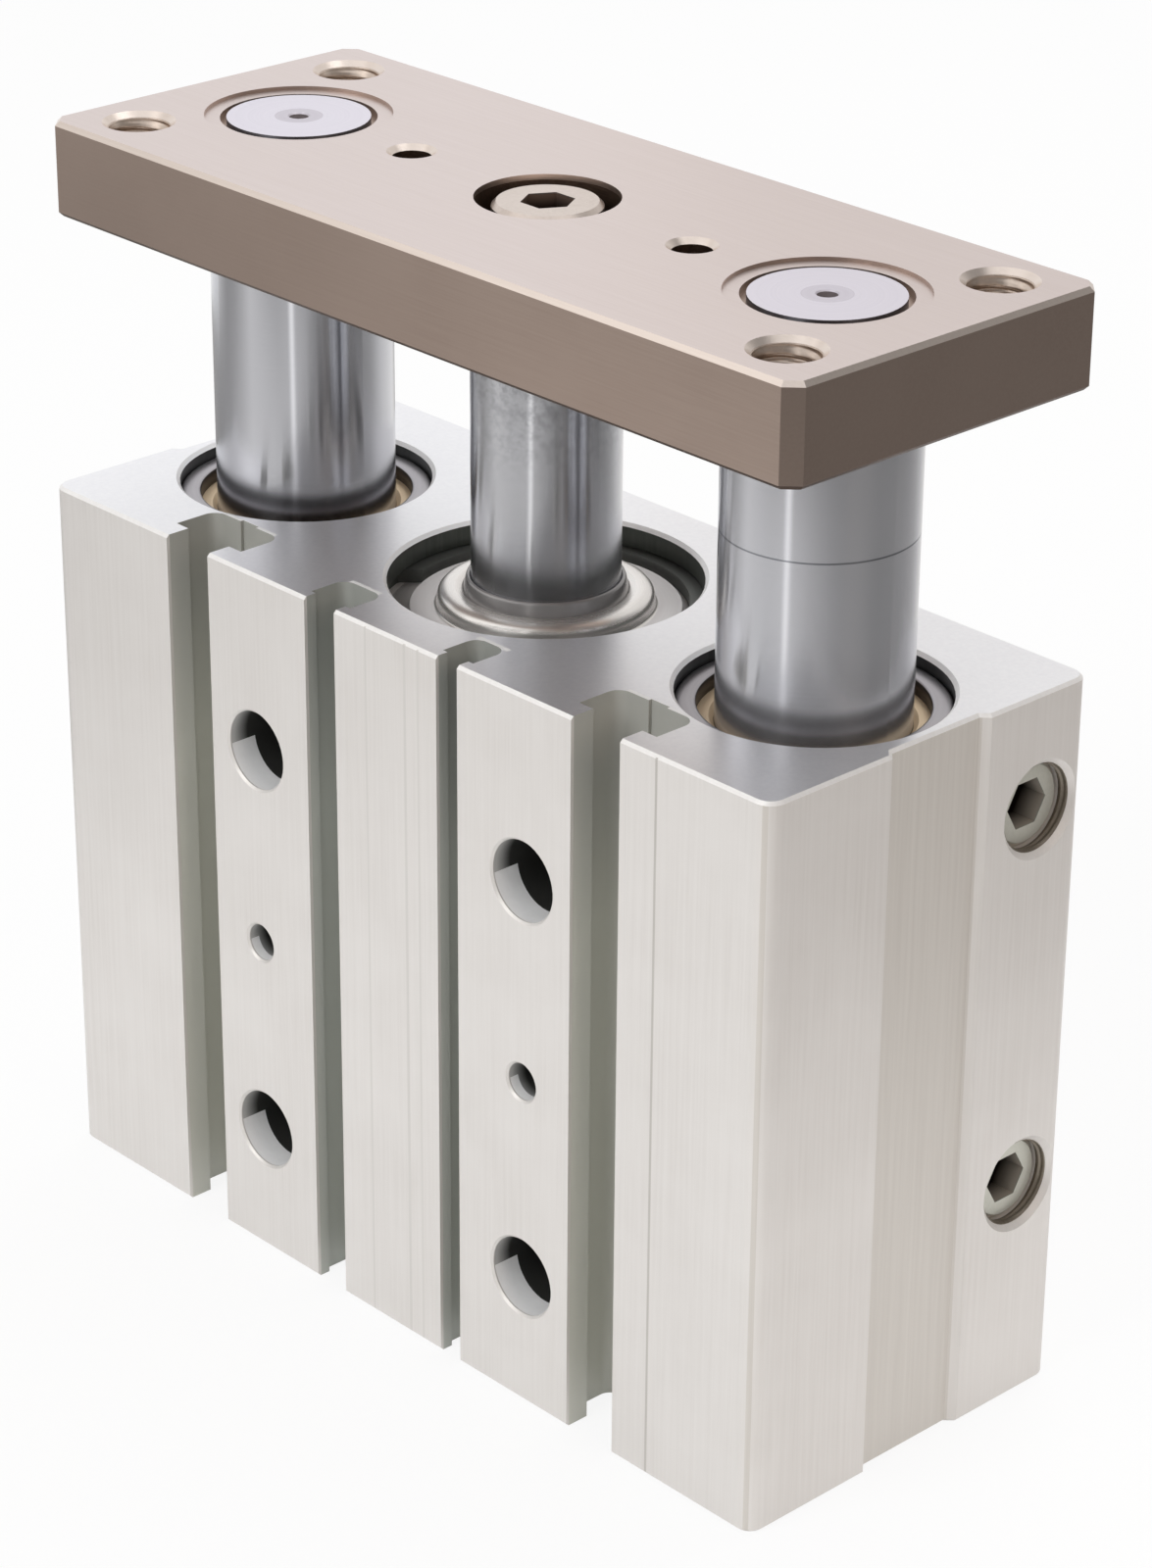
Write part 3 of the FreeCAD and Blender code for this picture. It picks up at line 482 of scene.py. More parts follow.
# Steel plate, ground and nickel plated: a warm satin metal, its top painted lighter as painted
# light from above. The grinding lines are finer than 0.1 mm and drawn at 0.25 mm to show
NICKEL = Finish(
    "nickel_plated_steel", "#B9A79C", "#A39085", 1.0, 0.36, Grain.ALONG_X, 0.25, 0.002,
    zones=(
        # The top is painted lighter than the sides, as painted light from above
        Zone((FACING_UP, (Measure.Z, 123.4, 124.8)), "#D5CAC7", "#CBBEBA", 0.36, 1.0),
        # The top edges are painted brighter still, as a painted highlight
        Zone(((Measure.LEVEL, 0.25, 0.9), (Measure.Z, 123.9, 124.8)),
             "#E6DAD1", "#D8CBC2", 0.28, 1.0),
        # The lower edges are rounded, and painted dark as painted shade where they face the
        # floor
        Zone(((Measure.LEVEL, 0.25, 0.9), (Measure.Z, 113.9, 114.7)),
             "#6A5B52", "#5C4E46", 0.5, 1.0),
        # The pin holes and the screw's seat are reamed, and painted dark as painted shade inside
        # them
        Zone(((Measure.SIDE, 18.4, 23.6), (Measure.Y, -2.6, 2.6), PLATE_DEPTH),
             "#6A5548", "#33261F", 0.4, 0.9),
        Zone(((Measure.CENTRE, 0.0, 7.9), PLATE_DEPTH), "#7A6658", "#3E3028", 0.4, 0.9),
    ))
# The guide rods' ends are ground before plating, so they are duller. Each has a lathe
# centre, pale at its rim and painted dark at its foot as painted shade, and a grey edge
GROUND_ENDS = (
    Zone((FACING_UP, ROD_END), "#DEDAE3", "#D0CCD6", 0.36, 1.0),
    Zone(((Measure.GUIDE, 0.0, 2.6), ROD_END), "#C4C0C8", "#B6B1BA", 0.5, 0.6),
    Zone(((Measure.GUIDE, 0.0, 1.05), ROD_END), "#5E5456", "#40383A", 0.6, 0.3),
    Zone(((Measure.LEVEL, -0.1, 0.9), (Measure.GUIDE, 7.0, 10.5), (Measure.Z, 123.4, 125.0)),
         "#8F8F96", "#7C7C84", 0.3, 1.0),
)
# Steel rod, hard chromed and polished: a mirror whose polishing rings draw highlights out
# along it. The rings are hair-fine, a few hundredths apart, and drawn at 0.25 mm to show
CHROME = RodFinish("hard_chromed_steel", "#D2D3D8", "#C3C5CB", 1.0, 0.17, Grain.EVEN, 0.25,
                   0.0004, 0.02, stretch=0.95, zones=GROUND_ENDS, axis=Measure.GUIDE)
# The same with a haze of fine scratches, and a line where two grinding passes met
LINED_CHROME = replace(CHROME, name="lined_chromed_steel", metallic=0.86, zones=GROUND_ENDS + (
    Zone(((Measure.Z, 100.25, 100.45),), "#A3A5AB", "#94969C", 0.2, 1.0),))
# The same, on the rod that has run through its wiper: grey scuffs towards the plate
SCUFFED_CHROME = RodFinish("scuffed_chromed_steel", "#CFD0D4", "#BDBFC4", 1.0, 0.18,
                           Grain.EVEN, 0.25, 0.0005, 0.02, stretch=0.95, scuff_share=0.6)
# Aluminium turned on a lathe: bright, with rings that spread a highlight outwards. The
# tool's feed is about 0.15 mm and drawn at 0.35 mm to show
TURNED = TurnedFinish("turned_aluminium", "#F0EDEA", "#D9D5D1", 0.9, 0.28, Grain.EVEN, 0.35,
                      0.002, stretch=0.7, flat_stretch=0.7)
# The same under the retaining ring: the sunk face is pale and matt, the boss's wall painted dark
# as painted shade
FACED = replace(TURNED, name="faced_aluminium", zones=(
    Zone(((Measure.CENTRE, 11.9, 17.0), (Measure.LEVEL, 0.6, 1.1), (Measure.Z, 78.0, 80.2)),
         "#F8F6F6", "#ECE9E9", 0.5, 0.25),
    Zone(((Measure.CENTRE, 11.0, 12.0), (Measure.LEVEL, -0.1, 0.1), (Measure.Z, 79.6, 81.0)),
         "#8A8C86", "#6E706B", 0.4, 0.6)))
# Sintered bronze, turned: warm, a little open in its pores, and pale on its faced end, which is
# matt and also painted lighter as painted light.
# The pores are drawn at 0.3 mm, about three times their size
BRONZE = TurnedFinish("sintered_bronze", "#D8B48F", "#95704E", 0.85, 0.34, Grain.EVEN, 0.3,
                      0.004, axis=Measure.GUIDE,
                      zones=(Zone(((Measure.LEVEL, 0.4, 1.1),),
                                  "#FFEACA", "#EFD3AC", 0.45, 0.3),))
# Spring steel, phosphated: dark grey and dull
PHOSPHATED = TurnedFinish("phosphated_spring_steel", "#5E605D", "#414341", 0.5, 0.45)
# Steel stamping, plain: mid grey and smooth, with a dark scraped edge inside
STAMPED = TurnedFinish("plain_steel", "#B4B1B5", "#97949A", 0.95, 0.34, Grain.EVEN, 0.3,
                       0.002, axis=Measure.GUIDE,
                       zones=(Zone(((Measure.GUIDE, 0.0, 12.0), (Measure.LEVEL, -0.1, 0.7)),
                                   "#3A302A", "#241D19", 0.45, 0.6),))
# Cap screw, cold headed and nickel plated: warm and smooth, its socket painted darker with depth
# as painted shade
PLATED_FASTENER = Finish(
    "nickel_plated_screw", "#D8CCC4", "#AC9E94", 0.95, 0.3,
    zones=(Zone(((Measure.CENTRE, 0.0, 3.0), (Measure.Z, 115.0, 124.05)),
                "#927C6F", "#33261F", 0.4, 0.8, fade=(Measure.Z, 124.0, 122.6)),))
# Port plugs, zinc plated: pale, a little green and soft, with sockets painted darker inwards as
# painted shade
ZINC_PLATED = Finish(
    "zinc_plated_plug", "#D2D2C8", "#B4B4AB", 0.55, 0.42,
    zones=(Zone(((Measure.X, 40.0, 53.95),), "#D0C8BC", "#1E1813", 0.36, 0.4,
                fade=(Measure.X, 53.9, 51.0)),))
# The body's aluminium where an end port is tapped, oiled: dark and brown between crests
PORT_THREAD = Finish("oiled_port_thread", "#8E867A", "#54483C", 0.7, 0.4)
# The plate's steel in its tapped corners, nickel plated: bright crests with warm roots
PLATE_THREAD = Finish("tapped_plated_steel", "#D2C4B8", "#A59387", 1.0, 0.3)
# Aluminium, tapped: bright crests with grey roots
TAPPED = Finish("tapped_aluminium", "#CFCDC9", "#94918D", 0.8, 0.36)
# Nitrile rubber, moulded: brown-black and matt
RUBBER = TurnedFinish("nitrile_rubber", "#5E564F", "#413B36", 0.0, 0.5, Grain.EVEN, 0.25,
                      0.003)
# Polyurethane wiper, moulded and greased: grey with a soft shine
WIPER = TurnedFinish("polyurethane_wiper", "#9C9A9A", "#7A7674", 0.6, 0.24, Grain.EVEN, 0.25,
                     0.002)


@dataclass
class PaintShop:
    """Makes each finish once and puts it on pieces."""

    made: Dict[Finish, bpy.types.Material] = field(default_factory=dict)

    def paint(self, thing: bpy.types.Object, finish: Finish) -> None:
        """Put one finish on a piece.

        Args:
            thing: the object to paint.
            finish: the finish that it gets.
        """
        if finish not in self.made:
            self.made[finish] = finish.material()
        thing.data.materials.clear()
        thing.data.materials.append(self.made[finish])


def add_piece(name: str, shape: bmesh.types.BMesh, group: Group) -> bpy.types.Object:
    """Make a piece of the part from a mesh in millimetres.

    Args:
        name: what the piece is called.
        shape: its mesh, which is freed.
        group: the body that it rides on.

    Returns:
        The new object.
    """
    bmesh.ops.recalc_face_normals(shape, faces=shape.faces)
    bmesh.ops.scale(shape, vec=(MM, MM, MM), verts=shape.verts)
    mesh = bpy.data.meshes.new(name)
    shape.to_mesh(mesh)
    shape.free()
    thing = bpy.data.objects.new(name, mesh)
    bpy.context.collection.objects.link(thing)
    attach(thing, group.value)
    return thing


@dataclass(frozen=True)
class TurnedPiece:
    """A piece turned to a closed outline about an upright axis, in place of a plainer node."""

    name: str
    node: str
    slot: str
    outline_mm: Pairs
    axis_x_mm: float = 0.0
    columns: int = 96
    crease_deg: float = 30.0

    def build(self, group: Group) -> bpy.types.Object:
        """Turn the piece.

        Args:
            group: the body that it rides on.

        Returns:
            The new object.
        """
        shape = bmesh.new()
        turns = [FULL_TURN * column / self.columns for column in range(self.columns)]
        rings = [[shape.verts.new((self.axis_x_mm + radius * math.cos(turn),
                                   radius * math.sin(turn), height)) for turn in turns]
                 for radius, height in self.outline_mm]
        for low, high in zip(rings, rings[1:] + rings[:1]):
            for column in range(self.columns):
                after = (column + 1) % self.columns
                face = shape.faces.new((low[column], low[after], high[after], high[column]))
                face.smooth = True
        for edge in shape.edges:
            edge.smooth = edge.calc_face_angle() < math.radians(self.crease_deg)
        thing = add_piece(self.name, shape, group)
        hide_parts(self.node)
        return thing


@dataclass(frozen=True)
class TappedHole:
    """The thread of one tapped hole, as a closed threaded skin on the hole's wall."""

    name: str
    mouth_mm: Point
    into: Point
    hole_mm: float
    pitch_mm: float
    length_mm: float
    ridge_mm: float = 0.5
    wall_gap_mm: float = 0.01
    skin_mm: float = 0.05
    columns: int = 48
    rows_per_turn: int = 8
    ridge_reach: float = 2.0
    ridge_slope: float = 5.0

    def ridge(self, turns: float) -> float:
        """Give the ridge's height at a place in its pitch.

        The crest takes two fifths of the pitch, and each flank and the root a fifth.

        Args:
            turns: the place, in pitches from the mouth.

        Returns:
            The height, from 0 in the root to 1 on the crest.
        """
        from_crest = abs(turns % 1.0 - 0.5)
        return max(0.0, min(1.0, self.ridge_reach - from_crest * self.ridge_slope))

    def build(self, group: Group, slot: str) -> bpy.types.Object:
        """Cut the thread.

        Args:
            group: the body that the hole is in.
            slot: not used.

        Returns:
            The new object.
        """
        wall = self.hole_mm / 2.0 - self.wall_gap_mm
        rows = round(self.length_mm / self.pitch_mm * self.rows_per_turn)
        turned = Vector(self.into).to_track_quat("Z", "Y").to_matrix().to_4x4()
        placed = Matrix.Translation(Vector(self.mouth_mm)) @ turned
        shape = bmesh.new()
        inner = [self.loop(shape, placed, wall, row / rows) for row in range(rows + 1)]
        outer = [[shape.verts.new(placed @ self.on_ring(wall, column, end * self.length_mm))
                  for column in range(self.columns)] for end in (0, 1)]
        rings = [outer[0], *inner, outer[1], outer[0]]
        for number, (low, high) in enumerate(zip(rings, rings[1:])):
            for column in range(self.columns):
                after = (column + 1) % self.columns
                face = shape.faces.new((low[column], low[after], high[after], high[column]))
                face.smooth = 0 < number <= rows
        return add_piece(self.name, shape, group)

    def on_ring(self, radius: float, column: int, depth: float) -> Vector:
        """Give a point on the hole in its own directions.

        Args:
            radius: how far it is from the hole's axis.
            column: which of the columns round the hole it is in.
            depth: how far it is below the mouth.

        Returns:
            The point in millimetres.
        """
        angle = FULL_TURN * column / self.columns
        return Vector((radius * math.cos(angle), radius * math.sin(angle), depth))

    def loop(self, shape: bmesh.types.BMesh, placed: Matrix, wall: float,
             share: float) -> List[bmesh.types.BMVert]:
        """Add one ring of points along the threaded face.

        Args:
            shape: the mesh to add to.
            placed: the hole's place.
            wall: the radius of the skin's outer face.
            share: how far down the thread the ring is, from 0 to 1.

        Returns:
            The ring's points.
        """
        depth = share * self.length_mm
        run_out = min(1.0, depth / self.pitch_mm, (self.length_mm - depth) / self.pitch_mm)
        points = []
        for column in range(self.columns):
            height = self.ridge(depth / self.pitch_mm - column / self.columns) * run_out
            radius = wall - self.skin_mm - self.ridge_mm * height
            points.append(shape.verts.new(placed @ self.on_ring(radius, column, depth)))
        return points


@dataclass
class SubAssembly:
    """A set of nodes on one body, with the threads that go with them."""

    group: Group
    slot: str
    finishes: Dict[str, Finish]
    thread_finish: Optional[Finish] = None

    def threads(self) -> List[TappedHole]:
        """List the tapped holes of this sub-assembly."""
        return []

    def turned(self) -> List[Tuple[TurnedPiece, Finish]]:
        """List the pieces that are turned anew, with their finishes."""
        return []

    def build(self, shop: PaintShop) -> None:
        """Dress the nodes and cut the threads.

        Args:
            shop: where the finishes are made.
        """
        for node, finish in self.finishes.items():
            shop.paint(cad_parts[node], finish)
            log.info("%s: %s", node, finish.name)
        for piece, finish in self.turned():
            shop.paint(piece.build(self.group), finish)
            log.info("%s for %s: %s", piece.name, piece.node, finish.name)
        for hole in self.threads():
            shop.paint(hole.build(self.group, self.slot), self.thread_finish)
            log.info("%s: thread of %.3g mm pitch", hole.name, hole.pitch_mm)


@dataclass
class SlottedBody(SubAssembly):
    """The drawn block, with its tapped rear ports and base holes."""

    group: Group = Group.HOUSING
    slot: str = "anodised_body"
    finishes: Dict[str, Finish] = field(default_factory=lambda: {"body": ANODISED})
    thread_finish: Finish = TAPPED
    rear_y: float = 23.0
    port_x: float = 31.0
    port_heights: Tuple[float, float] = (70.0, 26.2)
    port_mm: float = 9.73
    port_pitch_mm: float = 0.907
    port_length_mm: float = 6.4
    port_ridge_mm: float = 0.45
    port_bevel_mm: float = 0.65
    base_x: float = 49.0
    base_y: float = 15.0
    base_hole_mm: float = 6.8
    base_pitch_mm: float = 1.25
    base_length_mm: float = 14.0
    base_start_mm: float = 0.4

    def threads(self) -> List[TappedHole]:
        """List the rear ports and the base holes.

        Returns:
            Two ports, then four holes.
        """
        ports = [TappedHole(f"rear_port_thread_{number}",
                            (self.port_x, self.rear_y - self.port_bevel_mm, height),
                            (0.0, -1.0, 0.0), self.port_mm, self.port_pitch_mm,
                            self.port_length_mm, self.port_ridge_mm)
                 for number, height in enumerate(self.port_heights, start=1)]
        corners = [(x, y) for x in (-self.base_x, self.base_x)
                   for y in (-self.base_y, self.base_y)]
        holes = [TappedHole(f"base_thread_{number}", (x, y, self.base_start_mm),
                            (0.0, 0.0, 1.0), self.base_hole_mm, self.base_pitch_mm,
                            self.base_length_mm)
                 for number, (x, y) in enumerate(corners, start=1)]
        return ports + holes


@dataclass
class PortPlugs(SubAssembly):
    """The socket plugs in the end face, sunk below the first turns of their ports."""

    group: Group = Group.HOUSING
    slot: str = "anodised_body"
    finishes: Dict[str, Finish] = field(default_factory=lambda: {
        "port_plug_upper": ZINC_PLATED, "port_plug_lower": ZINC_PLATED})
    thread_finish: Finish = PORT_THREAD
    end_x: float = 56.0
    port_y: float = 16.3
    heights: Tuple[float, float] = (70.0, 26.2)
    port_mm: float = 9.73
    pitch_mm: float = 0.907
    start_mm: float = 0.62
    length_mm: float = 1.26
    ridge_mm: float = 0.4
    rows_per_turn: int = 12

    def threads(self) -> List[TappedHole]:
        """List the turns that show above the plugs.

        Returns:
            One short thread for each port.
        """
        return [TappedHole(f"side_port_thread_{number}",
                           (self.end_x - self.start_mm, self.port_y, height),
                           (-1.0, 0.0, 0.0), self.port_mm, self.pitch_mm, self.length_mm,
                           self.ridge_mm, rows_per_turn=self.rows_per_turn)
                for number, height in enumerate(self.heights, start=1)]


@dataclass
class CylinderEnds(SubAssembly):
    """The covers that close the bore, with their rings, gaskets and rod wiper."""

    group: Group = Group.HOUSING
    slot: str = "turned_cover"
    finishes: Dict[str, Finish] = field(default_factory=lambda: {
        "head_cover": TURNED, "rod_cover_ring": PHOSPHATED, "head_cover_ring": PHOSPHATED,
        "rod_cover_gasket": RUBBER, "head_cover_gasket": RUBBER})
    low_mm: float = 71.5
    rim_mm: float = 16.88
    groove_rise_mm: float = 1.7
    groove_mm: float = 2.2
    gasket_floor_mm: float = 15.28
    ring_seat_mm: float = 78.8
    raised_mm: float = 79.7
    raised_radius_mm: float = 14.6
    raised_edge_mm: float = 0.2
    boss_mm: float = 11.6
    boss_foot_mm: float = 0.25
    boss_top_mm: float = 81.7
    # In from the boss's wall and down from its top
    boss_edge_mm: Pairs = ((0.0, 1.1), (0.12, 0.55), (0.42, 0.2), (0.95, 0.0))
    seat_mm: float = 8.85
    seat_edge_mm: float = 0.1
    seat_floor_mm: float = 77.0
    rod_mm: float = 8.05
    # In from the seat's wall and up from the boss's top
    wiper_edge_mm: Pairs = ((0.02, -0.1), (0.1, 0.15), (0.32, 1.15), (0.42, 1.4))
    wiper_lift_mm: float = 0.05
    lip_width_mm: float = 0.2
    lip_edge_mm: float = 0.1
    lip_top_mm: float = 83.2

    def turned(self) -> List[Tuple[TurnedPiece, Finish]]:
        """List the rod cover, with its raised face and boss, and the wiper in it.

        Returns:
            Both pieces with their finishes.
        """
        top, groove = self.boss_top_mm, self.low_mm + self.groove_rise_mm
        foot, floor = self.seat_floor_mm + self.wiper_lift_mm, self.seat_floor_mm
        raised = self.raised_radius_mm
        cover = TurnedPiece("rod_cover_turned", "rod_cover", "turned_cover", (
            (self.rod_mm, self.low_mm), (self.rim_mm, self.low_mm), (self.rim_mm, groove),
            (self.gasket_floor_mm, groove), (self.gasket_floor_mm, groove + self.groove_mm),
            (self.rim_mm, groove + self.groove_mm), (self.rim_mm, self.ring_seat_mm),
            (raised, self.ring_seat_mm), (raised, self.raised_mm - self.raised_edge_mm),
            (raised - self.raised_edge_mm, self.raised_mm),
            (self.boss_mm + self.boss_foot_mm, self.raised_mm),
            (self.boss_mm, self.raised_mm + self.boss_foot_mm),
            *((self.boss_mm - inwards, top - down) for inwards, down in self.boss_edge_mm),
            (self.seat_mm + self.seat_edge_mm, top), (self.seat_mm, top - self.seat_edge_mm),
            (self.seat_mm, floor), (self.rod_mm, floor)))
        wiper = TurnedPiece("rod_wiper", "rod_seal", "seal_rubber", (
            (self.rod_mm, foot), (self.seat_mm - self.wiper_edge_mm[0][0], foot),
            *((self.seat_mm - inwards, top + up) for inwards, up in self.wiper_edge_mm),
            (self.rod_mm + self.lip_width_mm, self.lip_top_mm),
            (self.rod_mm, self.lip_top_mm - self.lip_edge_mm)))
        return [(cover, FACED), (wiper, WIPER)]


@dataclass
class GuideBearings(SubAssembly):
    """The bronze bushes and the rings that keep them."""

    group: Group = Group.HOUSING
    slot: str = "bearing_bronze"
    finishes: Dict[str, Finish] = field(default_factory=lambda: {
        "guide_bush_left_upper": BRONZE, "guide_bush_left_lower": BRONZE,
        "guide_bush_right_upper": BRONZE, "guide_bush_right_lower": BRONZE})
    ring_low_mm: float = 79.82
    ring_top_mm: float = 81.5
    ring_mm: float = 14.06
    rim_round_mm: float = 0.4
    rim_ease_mm: float = 0.12
    ring_hole_mm: float = 11.8
    scraped_mm: float = 0.35
    scraped_ease_mm: float = 0.1

    def turned(self) -> List[Tuple[TurnedPiece, Finish]]:
        """List the two rings, with a rounded rim and a scraped inner edge.

        Returns:
            Both rings with their finish.
        """
        low, top, rim, hole = self.ring_low_mm, self.ring_top_mm, self.ring_mm, self.ring_hole_mm
        outline = ((hole, low), (rim, low), (rim, top - self.rim_round_mm),
                   (rim - self.rim_ease_mm, top - self.rim_ease_mm),
                   (rim - self.rim_round_mm, top), (hole + self.scraped_mm, top),
                   (hole + self.scraped_ease_mm, top - self.scraped_ease_mm),
                   (hole, top - self.scraped_mm))
        return [(TurnedPiece(f"guide_ring_{side}_turned", f"guide_ring_{side}", "spring_steel",
                             outline, x), STAMPED)
                for side, x in (("left", -GUIDE_AXIS_MM), ("right", GUIDE_AXIS_MM))]


@dataclass
class Rods(SubAssembly):
    """The two guide rods and the piston rod."""

    group: Group = Group.CARRIAGE
    slot: str = "chromed_rod"
    finishes: Dict[str, Finish] = field(default_factory=lambda: {
        "guide_rod_left": CHROME, "guide_rod_right": LINED_CHROME,
        "piston_rod": SCUFFED_CHROME})


@dataclass
class PistonGroup(SubAssembly):
    """What the bore hides: piston, seal, magnet, stops and nut."""

    group: Group = Group.CARRIAGE
    slot: str = "turned_cover"
    finishes: Dict[str, Finish] = field(default_factory=lambda: {
        "piston": TURNED, "piston_seal": RUBBER, "piston_magnet": PHOSPHATED,
        "bumper_lower": RUBBER, "bumper_upper": RUBBER, "piston_nut": PLATED_FASTENER})


@dataclass
class ToolingPlate(SubAssembly):
    """The plate on the rods, its screw and its tapped corner holes."""

    group: Group = Group.CARRIAGE
    slot: str = "plated_plate"
    finishes: Dict[str, Finish] = field(default_factory=lambda: {
        "tooling_plate": NICKEL, "plate_screw": PLATED_FASTENER})
    thread_finish: Finish = PLATE_THREAD
    top_mm: float = 124.6
    hole_x: float = 48.5
    hole_y: float = 14.7
    hole_mm: float = 6.8
    pitch_mm: float = 1.25
    bevel_mm: float = 0.62
    length_mm: float = 9.36

    def threads(self) -> List[TappedHole]:
        """List the corner holes.

        Returns:
            One thread for each corner.
        """
        corners = [(x, y) for x in (-self.hole_x, self.hole_x)
                   for y in (-self.hole_y, self.hole_y)]
        return [TappedHole(f"plate_thread_{number}", (x, y, self.top_mm - self.bevel_mm),
                           (0.0, 0.0, -1.0), self.hole_mm, self.pitch_mm, self.length_mm)
                for number, (x, y) in enumerate(corners, start=1)]


@dataclass(frozen=True)
class GlowBand:
    """One band of the surround, which only shows mirrored in metal."""

    name: str
    low_mm: float
    high_mm: float
    start_deg: float
    sweep_deg: float
    # Bearings from the part in degrees, with how bright the band is there
    stops: Pairs
    radius_mm: float = 150.0
    steps: int = 120
    tone: str = "#FFFDFB"

    def build(self) -> None:
        """Stand the band round the part."""
        shape = bmesh.new()
        bearings = [math.radians(self.start_deg + self.sweep_deg * step / self.steps)
                    for step in range(self.steps + 1)]
        rows = [[shape.verts.new((self.radius_mm * MM * math.cos(bearing),
                                  self.radius_mm * MM * math.sin(bearing), level * MM))
                 for bearing in bearings] for level in (self.low_mm, self.high_mm)]
        for step in range(self.steps):
            shape.faces.new((rows[0][step], rows[0][step + 1], rows[1][step + 1],
                             rows[1][step]))
        mesh = bpy.data.meshes.new(self.name)
        shape.to_mesh(mesh)
        shape.free()
        thing = bpy.data.objects.new(self.name, mesh)
        bpy.context.collection.objects.link(thing)
        mesh.materials.append(self.glow())
        thing.visible_camera = False
        thing.visible_diffuse = False
        thing.visible_shadow = False
        thing.visible_transmission = False

    def glow(self) -> bpy.types.Material:
        """Make the glow that changes with the bearing.

        Returns:
            The new material.
        """
        material = bpy.data.materials.new(f"{self.name}_glow")
        material.use_nodes = True
        tree = material.node_tree
        tree.nodes.clear()
        where = add_node(tree, "ShaderNodeTexCoord")
        parts = add_node(tree, "ShaderNodeSeparateXYZ", {0: where.outputs["Object"]})
        bearing = calculate(tree, "ARCTAN2", parts.outputs["Y"], parts.outputs["X"])
        moved = calculate(tree, "SUBTRACT", bearing, math.radians(self.start_deg))
        turns = calculate(tree, "DIVIDE", moved, FULL_TURN)
        share = calculate(tree, "FRACT", turns)
        ramp = add_node(tree, "ShaderNodeValToRGB", {"Fac": share})
        marks = ramp.color_ramp.elements
        while len(marks) < len(self.stops):
            marks.new(1.0)
        for mark, (bearing_deg, strength) in zip(marks, self.stops):
            mark.position = (bearing_deg - self.start_deg) / FULL_TURN_DEG
            mark.color = (strength, strength, strength, 1.0)
        light = add_node(tree, "ShaderNodeEmission", {
            "Color": linear(self.tone), "Strength": ramp.outputs["Color"]})
        add_node(tree, "ShaderNodeOutputMaterial", {"Surface": light.outputs["Emission"]})
        return material


@dataclass
class Surround:
    """Soft boxes and dark flags about the part: a low ring, and flags above the camera."""

    bands: Tuple[GlowBand, ...] = (
        GlowBand("low_ring", 1.0, 66.0, 136.7, FULL_TURN_DEG, (
            (137, 0.4), (186, 0.34), (207, 0.42), (223, 0.6), (237, 0.78), (275, 0.68),
            (289, 0.72), (294, 1.35), (299, 0.72), (312, 0.6), (327, 0.42), (337, 0.32),
            (347, 0.25), (376, 0.19), (392, 0.22), (411, 0.32), (427, 0.45), (448, 0.75),
            (480, 1.0), (496, 0.6))),
        GlowBand("middle_flags", 66.0, 112.0, 190.0, 305.0, (
            (190, 0.8), (205, 0.42), (216, 0.38), (228, 0.5), (240, 0.75), (254, 0.5),
            (268, 0.26), (289, 0.26), (294, 1.35), (299, 0.26), (380, 0.22), (400, 0.24),
            (418, 0.3), (432, 0.6), (450, 0.8), (484, 0.85), (495, 1.0))),
        GlowBand("high_flags", 112.0, 320.0, 190.0, 305.0, (
            (190, 1.0), (205, 0.8), (216, 1.1), (228, 1.4), (240, 1.0), (254, 0.45), (268, 0.24),
            (289, 0.24), (294, 1.35), (299, 0.24), (380, 0.22), (400, 0.26), (418, 0.34),
            (432, 0.6), (450, 0.8), (484, 0.85), (495, 1.0))),
    )

    def build(self) -> None:
        """Stand the bands."""
        for band in self.bands:
            band.build()


@dataclass(frozen=True)
class SoftLamp:
    """A large square lamp that faces the part."""

    name: str
    place: Point
    size: float
    power: float
    tone: str = "#FFFFFF"
    aim: Point = (0.0, 0.0, 0.06)

    def build(self) -> None:
        """Hang the lamp."""
        data = bpy.data.lights.new(self.name, "AREA")
        data.size = self.size
        data.energy = self.power
        data.color = linear(self.tone)[:3]
        thing = bpy.data.objects.new(self.name, data)
        bpy.context.collection.objects.link(thing)
        thing.location = self.place
        towards = Vector(self.aim) - thing.location
        thing.rotation_euler = towards.to_track_quat("-Z", "Y").to_euler()


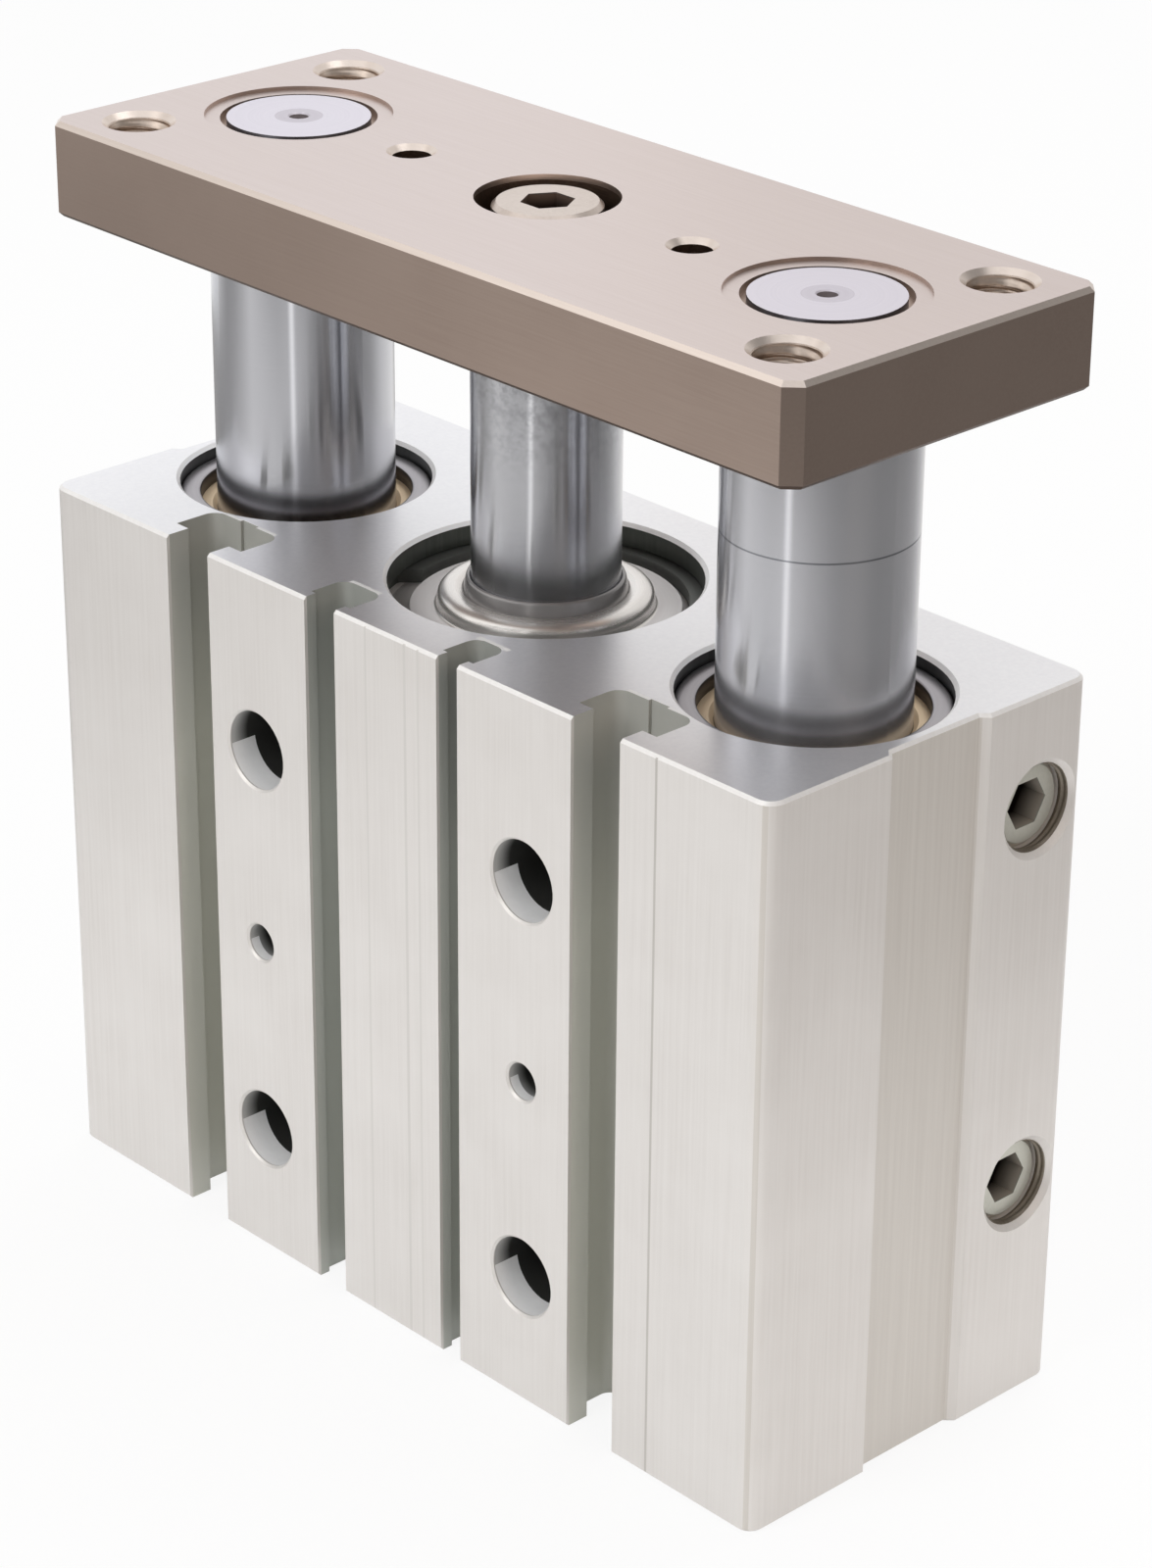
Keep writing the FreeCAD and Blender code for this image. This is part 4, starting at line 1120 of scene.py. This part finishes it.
@dataclass
class Studio:
    """Pale floor, soft lamps, a white world and the surround that streaks the rods."""

    floor_size: float = 6.0
    floor_glow: float = 0.88
    world_fill: float = 0.52
    lamps: Tuple[SoftLamp, ...] = (
        SoftLamp("key_lamp", (-0.05, -0.95, 0.8), 0.55, 5.6),
        SoftLamp("side_lamp", (1.0, -0.05, 0.55), 0.5, 2.2, "#FFEBDB"),
        SoftLamp("top_lamp", (-0.1, 0.45, 1.1), 0.7, 4.6),
    )

    def build(self) -> None:
        """Put up the floor, the surround, the lamps and the world."""
        self.floor()
        Surround().build()
        for lamp in self.lamps:
            lamp.build()
        self.world()

    def floor(self) -> None:
        """Lay the floor, nearly white to the eye yet still taking the part's shadow."""
        bpy.ops.mesh.primitive_plane_add(size=self.floor_size)
        floor = bpy.context.object
        floor.name = "studio_floor"
        material = bpy.data.materials.new("pale_floor")
        material.use_nodes = True
        tree = material.node_tree
        tree.nodes.clear()
        seen = self.seen_directly(tree)
        share = calculate(tree, "MULTIPLY", seen, self.floor_glow)
        diffuse = add_node(tree, "ShaderNodeBsdfDiffuse", {"Color": linear("#F2F2F2")})
        glow = add_node(tree, "ShaderNodeEmission", {"Color": linear("#FFFFFF")})
        mix = add_node(tree, "ShaderNodeMixShader", {
            0: share, 1: diffuse.outputs["BSDF"], 2: glow.outputs["Emission"]})
        add_node(tree, "ShaderNodeOutputMaterial", {"Surface": mix.outputs["Shader"]})
        floor.data.materials.append(material)

    @staticmethod
    def seen_directly(tree: bpy.types.NodeTree) -> bpy.types.NodeSocket:
        """Tell rays from the eye, from gloss and through glass from all others.

        Args:
            tree: the node tree of the floor or the world.

        Returns:
            1 for such rays, and 0 for the rest.
        """
        path = add_node(tree, "ShaderNodeLightPath")
        first = calculate(tree, "MAXIMUM", path.outputs["Is Camera Ray"],
                          path.outputs["Is Glossy Ray"])
        return calculate(tree, "MAXIMUM", first, path.outputs["Is Transmission Ray"])

    def world(self) -> None:
        """White to the eye and in metal, a soft fill for everything else."""
        world = bpy.data.worlds.new("studio_world")
        bpy.context.scene.world = world
        world.use_nodes = True
        tree = world.node_tree
        tree.nodes.clear()
        seen = self.seen_directly(tree)
        level = add_node(tree, "ShaderNodeMapRange", {
            "Value": seen, "To Min": self.world_fill, "To Max": 1.0})
        back = add_node(tree, "ShaderNodeBackground", {
            "Color": linear("#FFFFFF"), "Strength": level.outputs["Result"]})
        add_node(tree, "ShaderNodeOutputWorld", {"Surface": back.outputs["Background"]})


@dataclass
class PhotoCamera:
    """The camera, at the angle and distance from which the part was photographed."""

    azimuth_deg: float = 46.727
    elevation_deg: float = 25.367
    roll_deg: float = 0.430
    distance_mm: float = 470.93
    focal_px: float = 4436.0
    target_mm: Point = (2.283, 2.425, 58.426)
    sensor_mm: float = 36.0
    nearest_m: float = 0.01

    def build(self) -> None:
        """Make the camera and use it."""
        around, above = math.radians(self.azimuth_deg), math.radians(self.elevation_deg)
        back = Vector((math.sin(around) * math.cos(above),
                       -math.cos(around) * math.cos(above), math.sin(above)))
        right = Vector((0.0, 0.0, 1.0)).cross(back).normalized()
        up = back.cross(right)
        level = Matrix((right, up, back)).transposed().to_4x4()
        data = bpy.data.cameras.new("photo_camera")
        data.sensor_fit = "VERTICAL"
        data.sensor_height = self.sensor_mm
        data.lens = self.focal_px / PHOTO_HEIGHT_PX * self.sensor_mm
        data.clip_start = self.nearest_m
        camera = bpy.data.objects.new("photo_camera", data)
        bpy.context.collection.objects.link(camera)
        roll = Matrix.Rotation(math.radians(self.roll_deg), 4, "Z")
        place = (Vector(self.target_mm) + back * self.distance_mm) * MM
        camera.matrix_world = Matrix.Translation(place) @ level @ roll
        bpy.context.scene.camera = camera


def main() -> None:
    """Dress the part, then build the studio and the camera."""
    logging.basicConfig(level=logging.INFO, format="%(name)s %(message)s")
    bpy.context.scene.view_settings.view_transform = "Standard"
    shop = PaintShop()
    parts: Sequence[SubAssembly] = (SlottedBody(), PortPlugs(), CylinderEnds(),
                                    GuideBearings(), Rods(), PistonGroup(), ToolingPlate())
    for part in parts:
        part.build(shop)
    Studio().build()
    PhotoCamera().build()


if __name__ == "__main__":
    main()
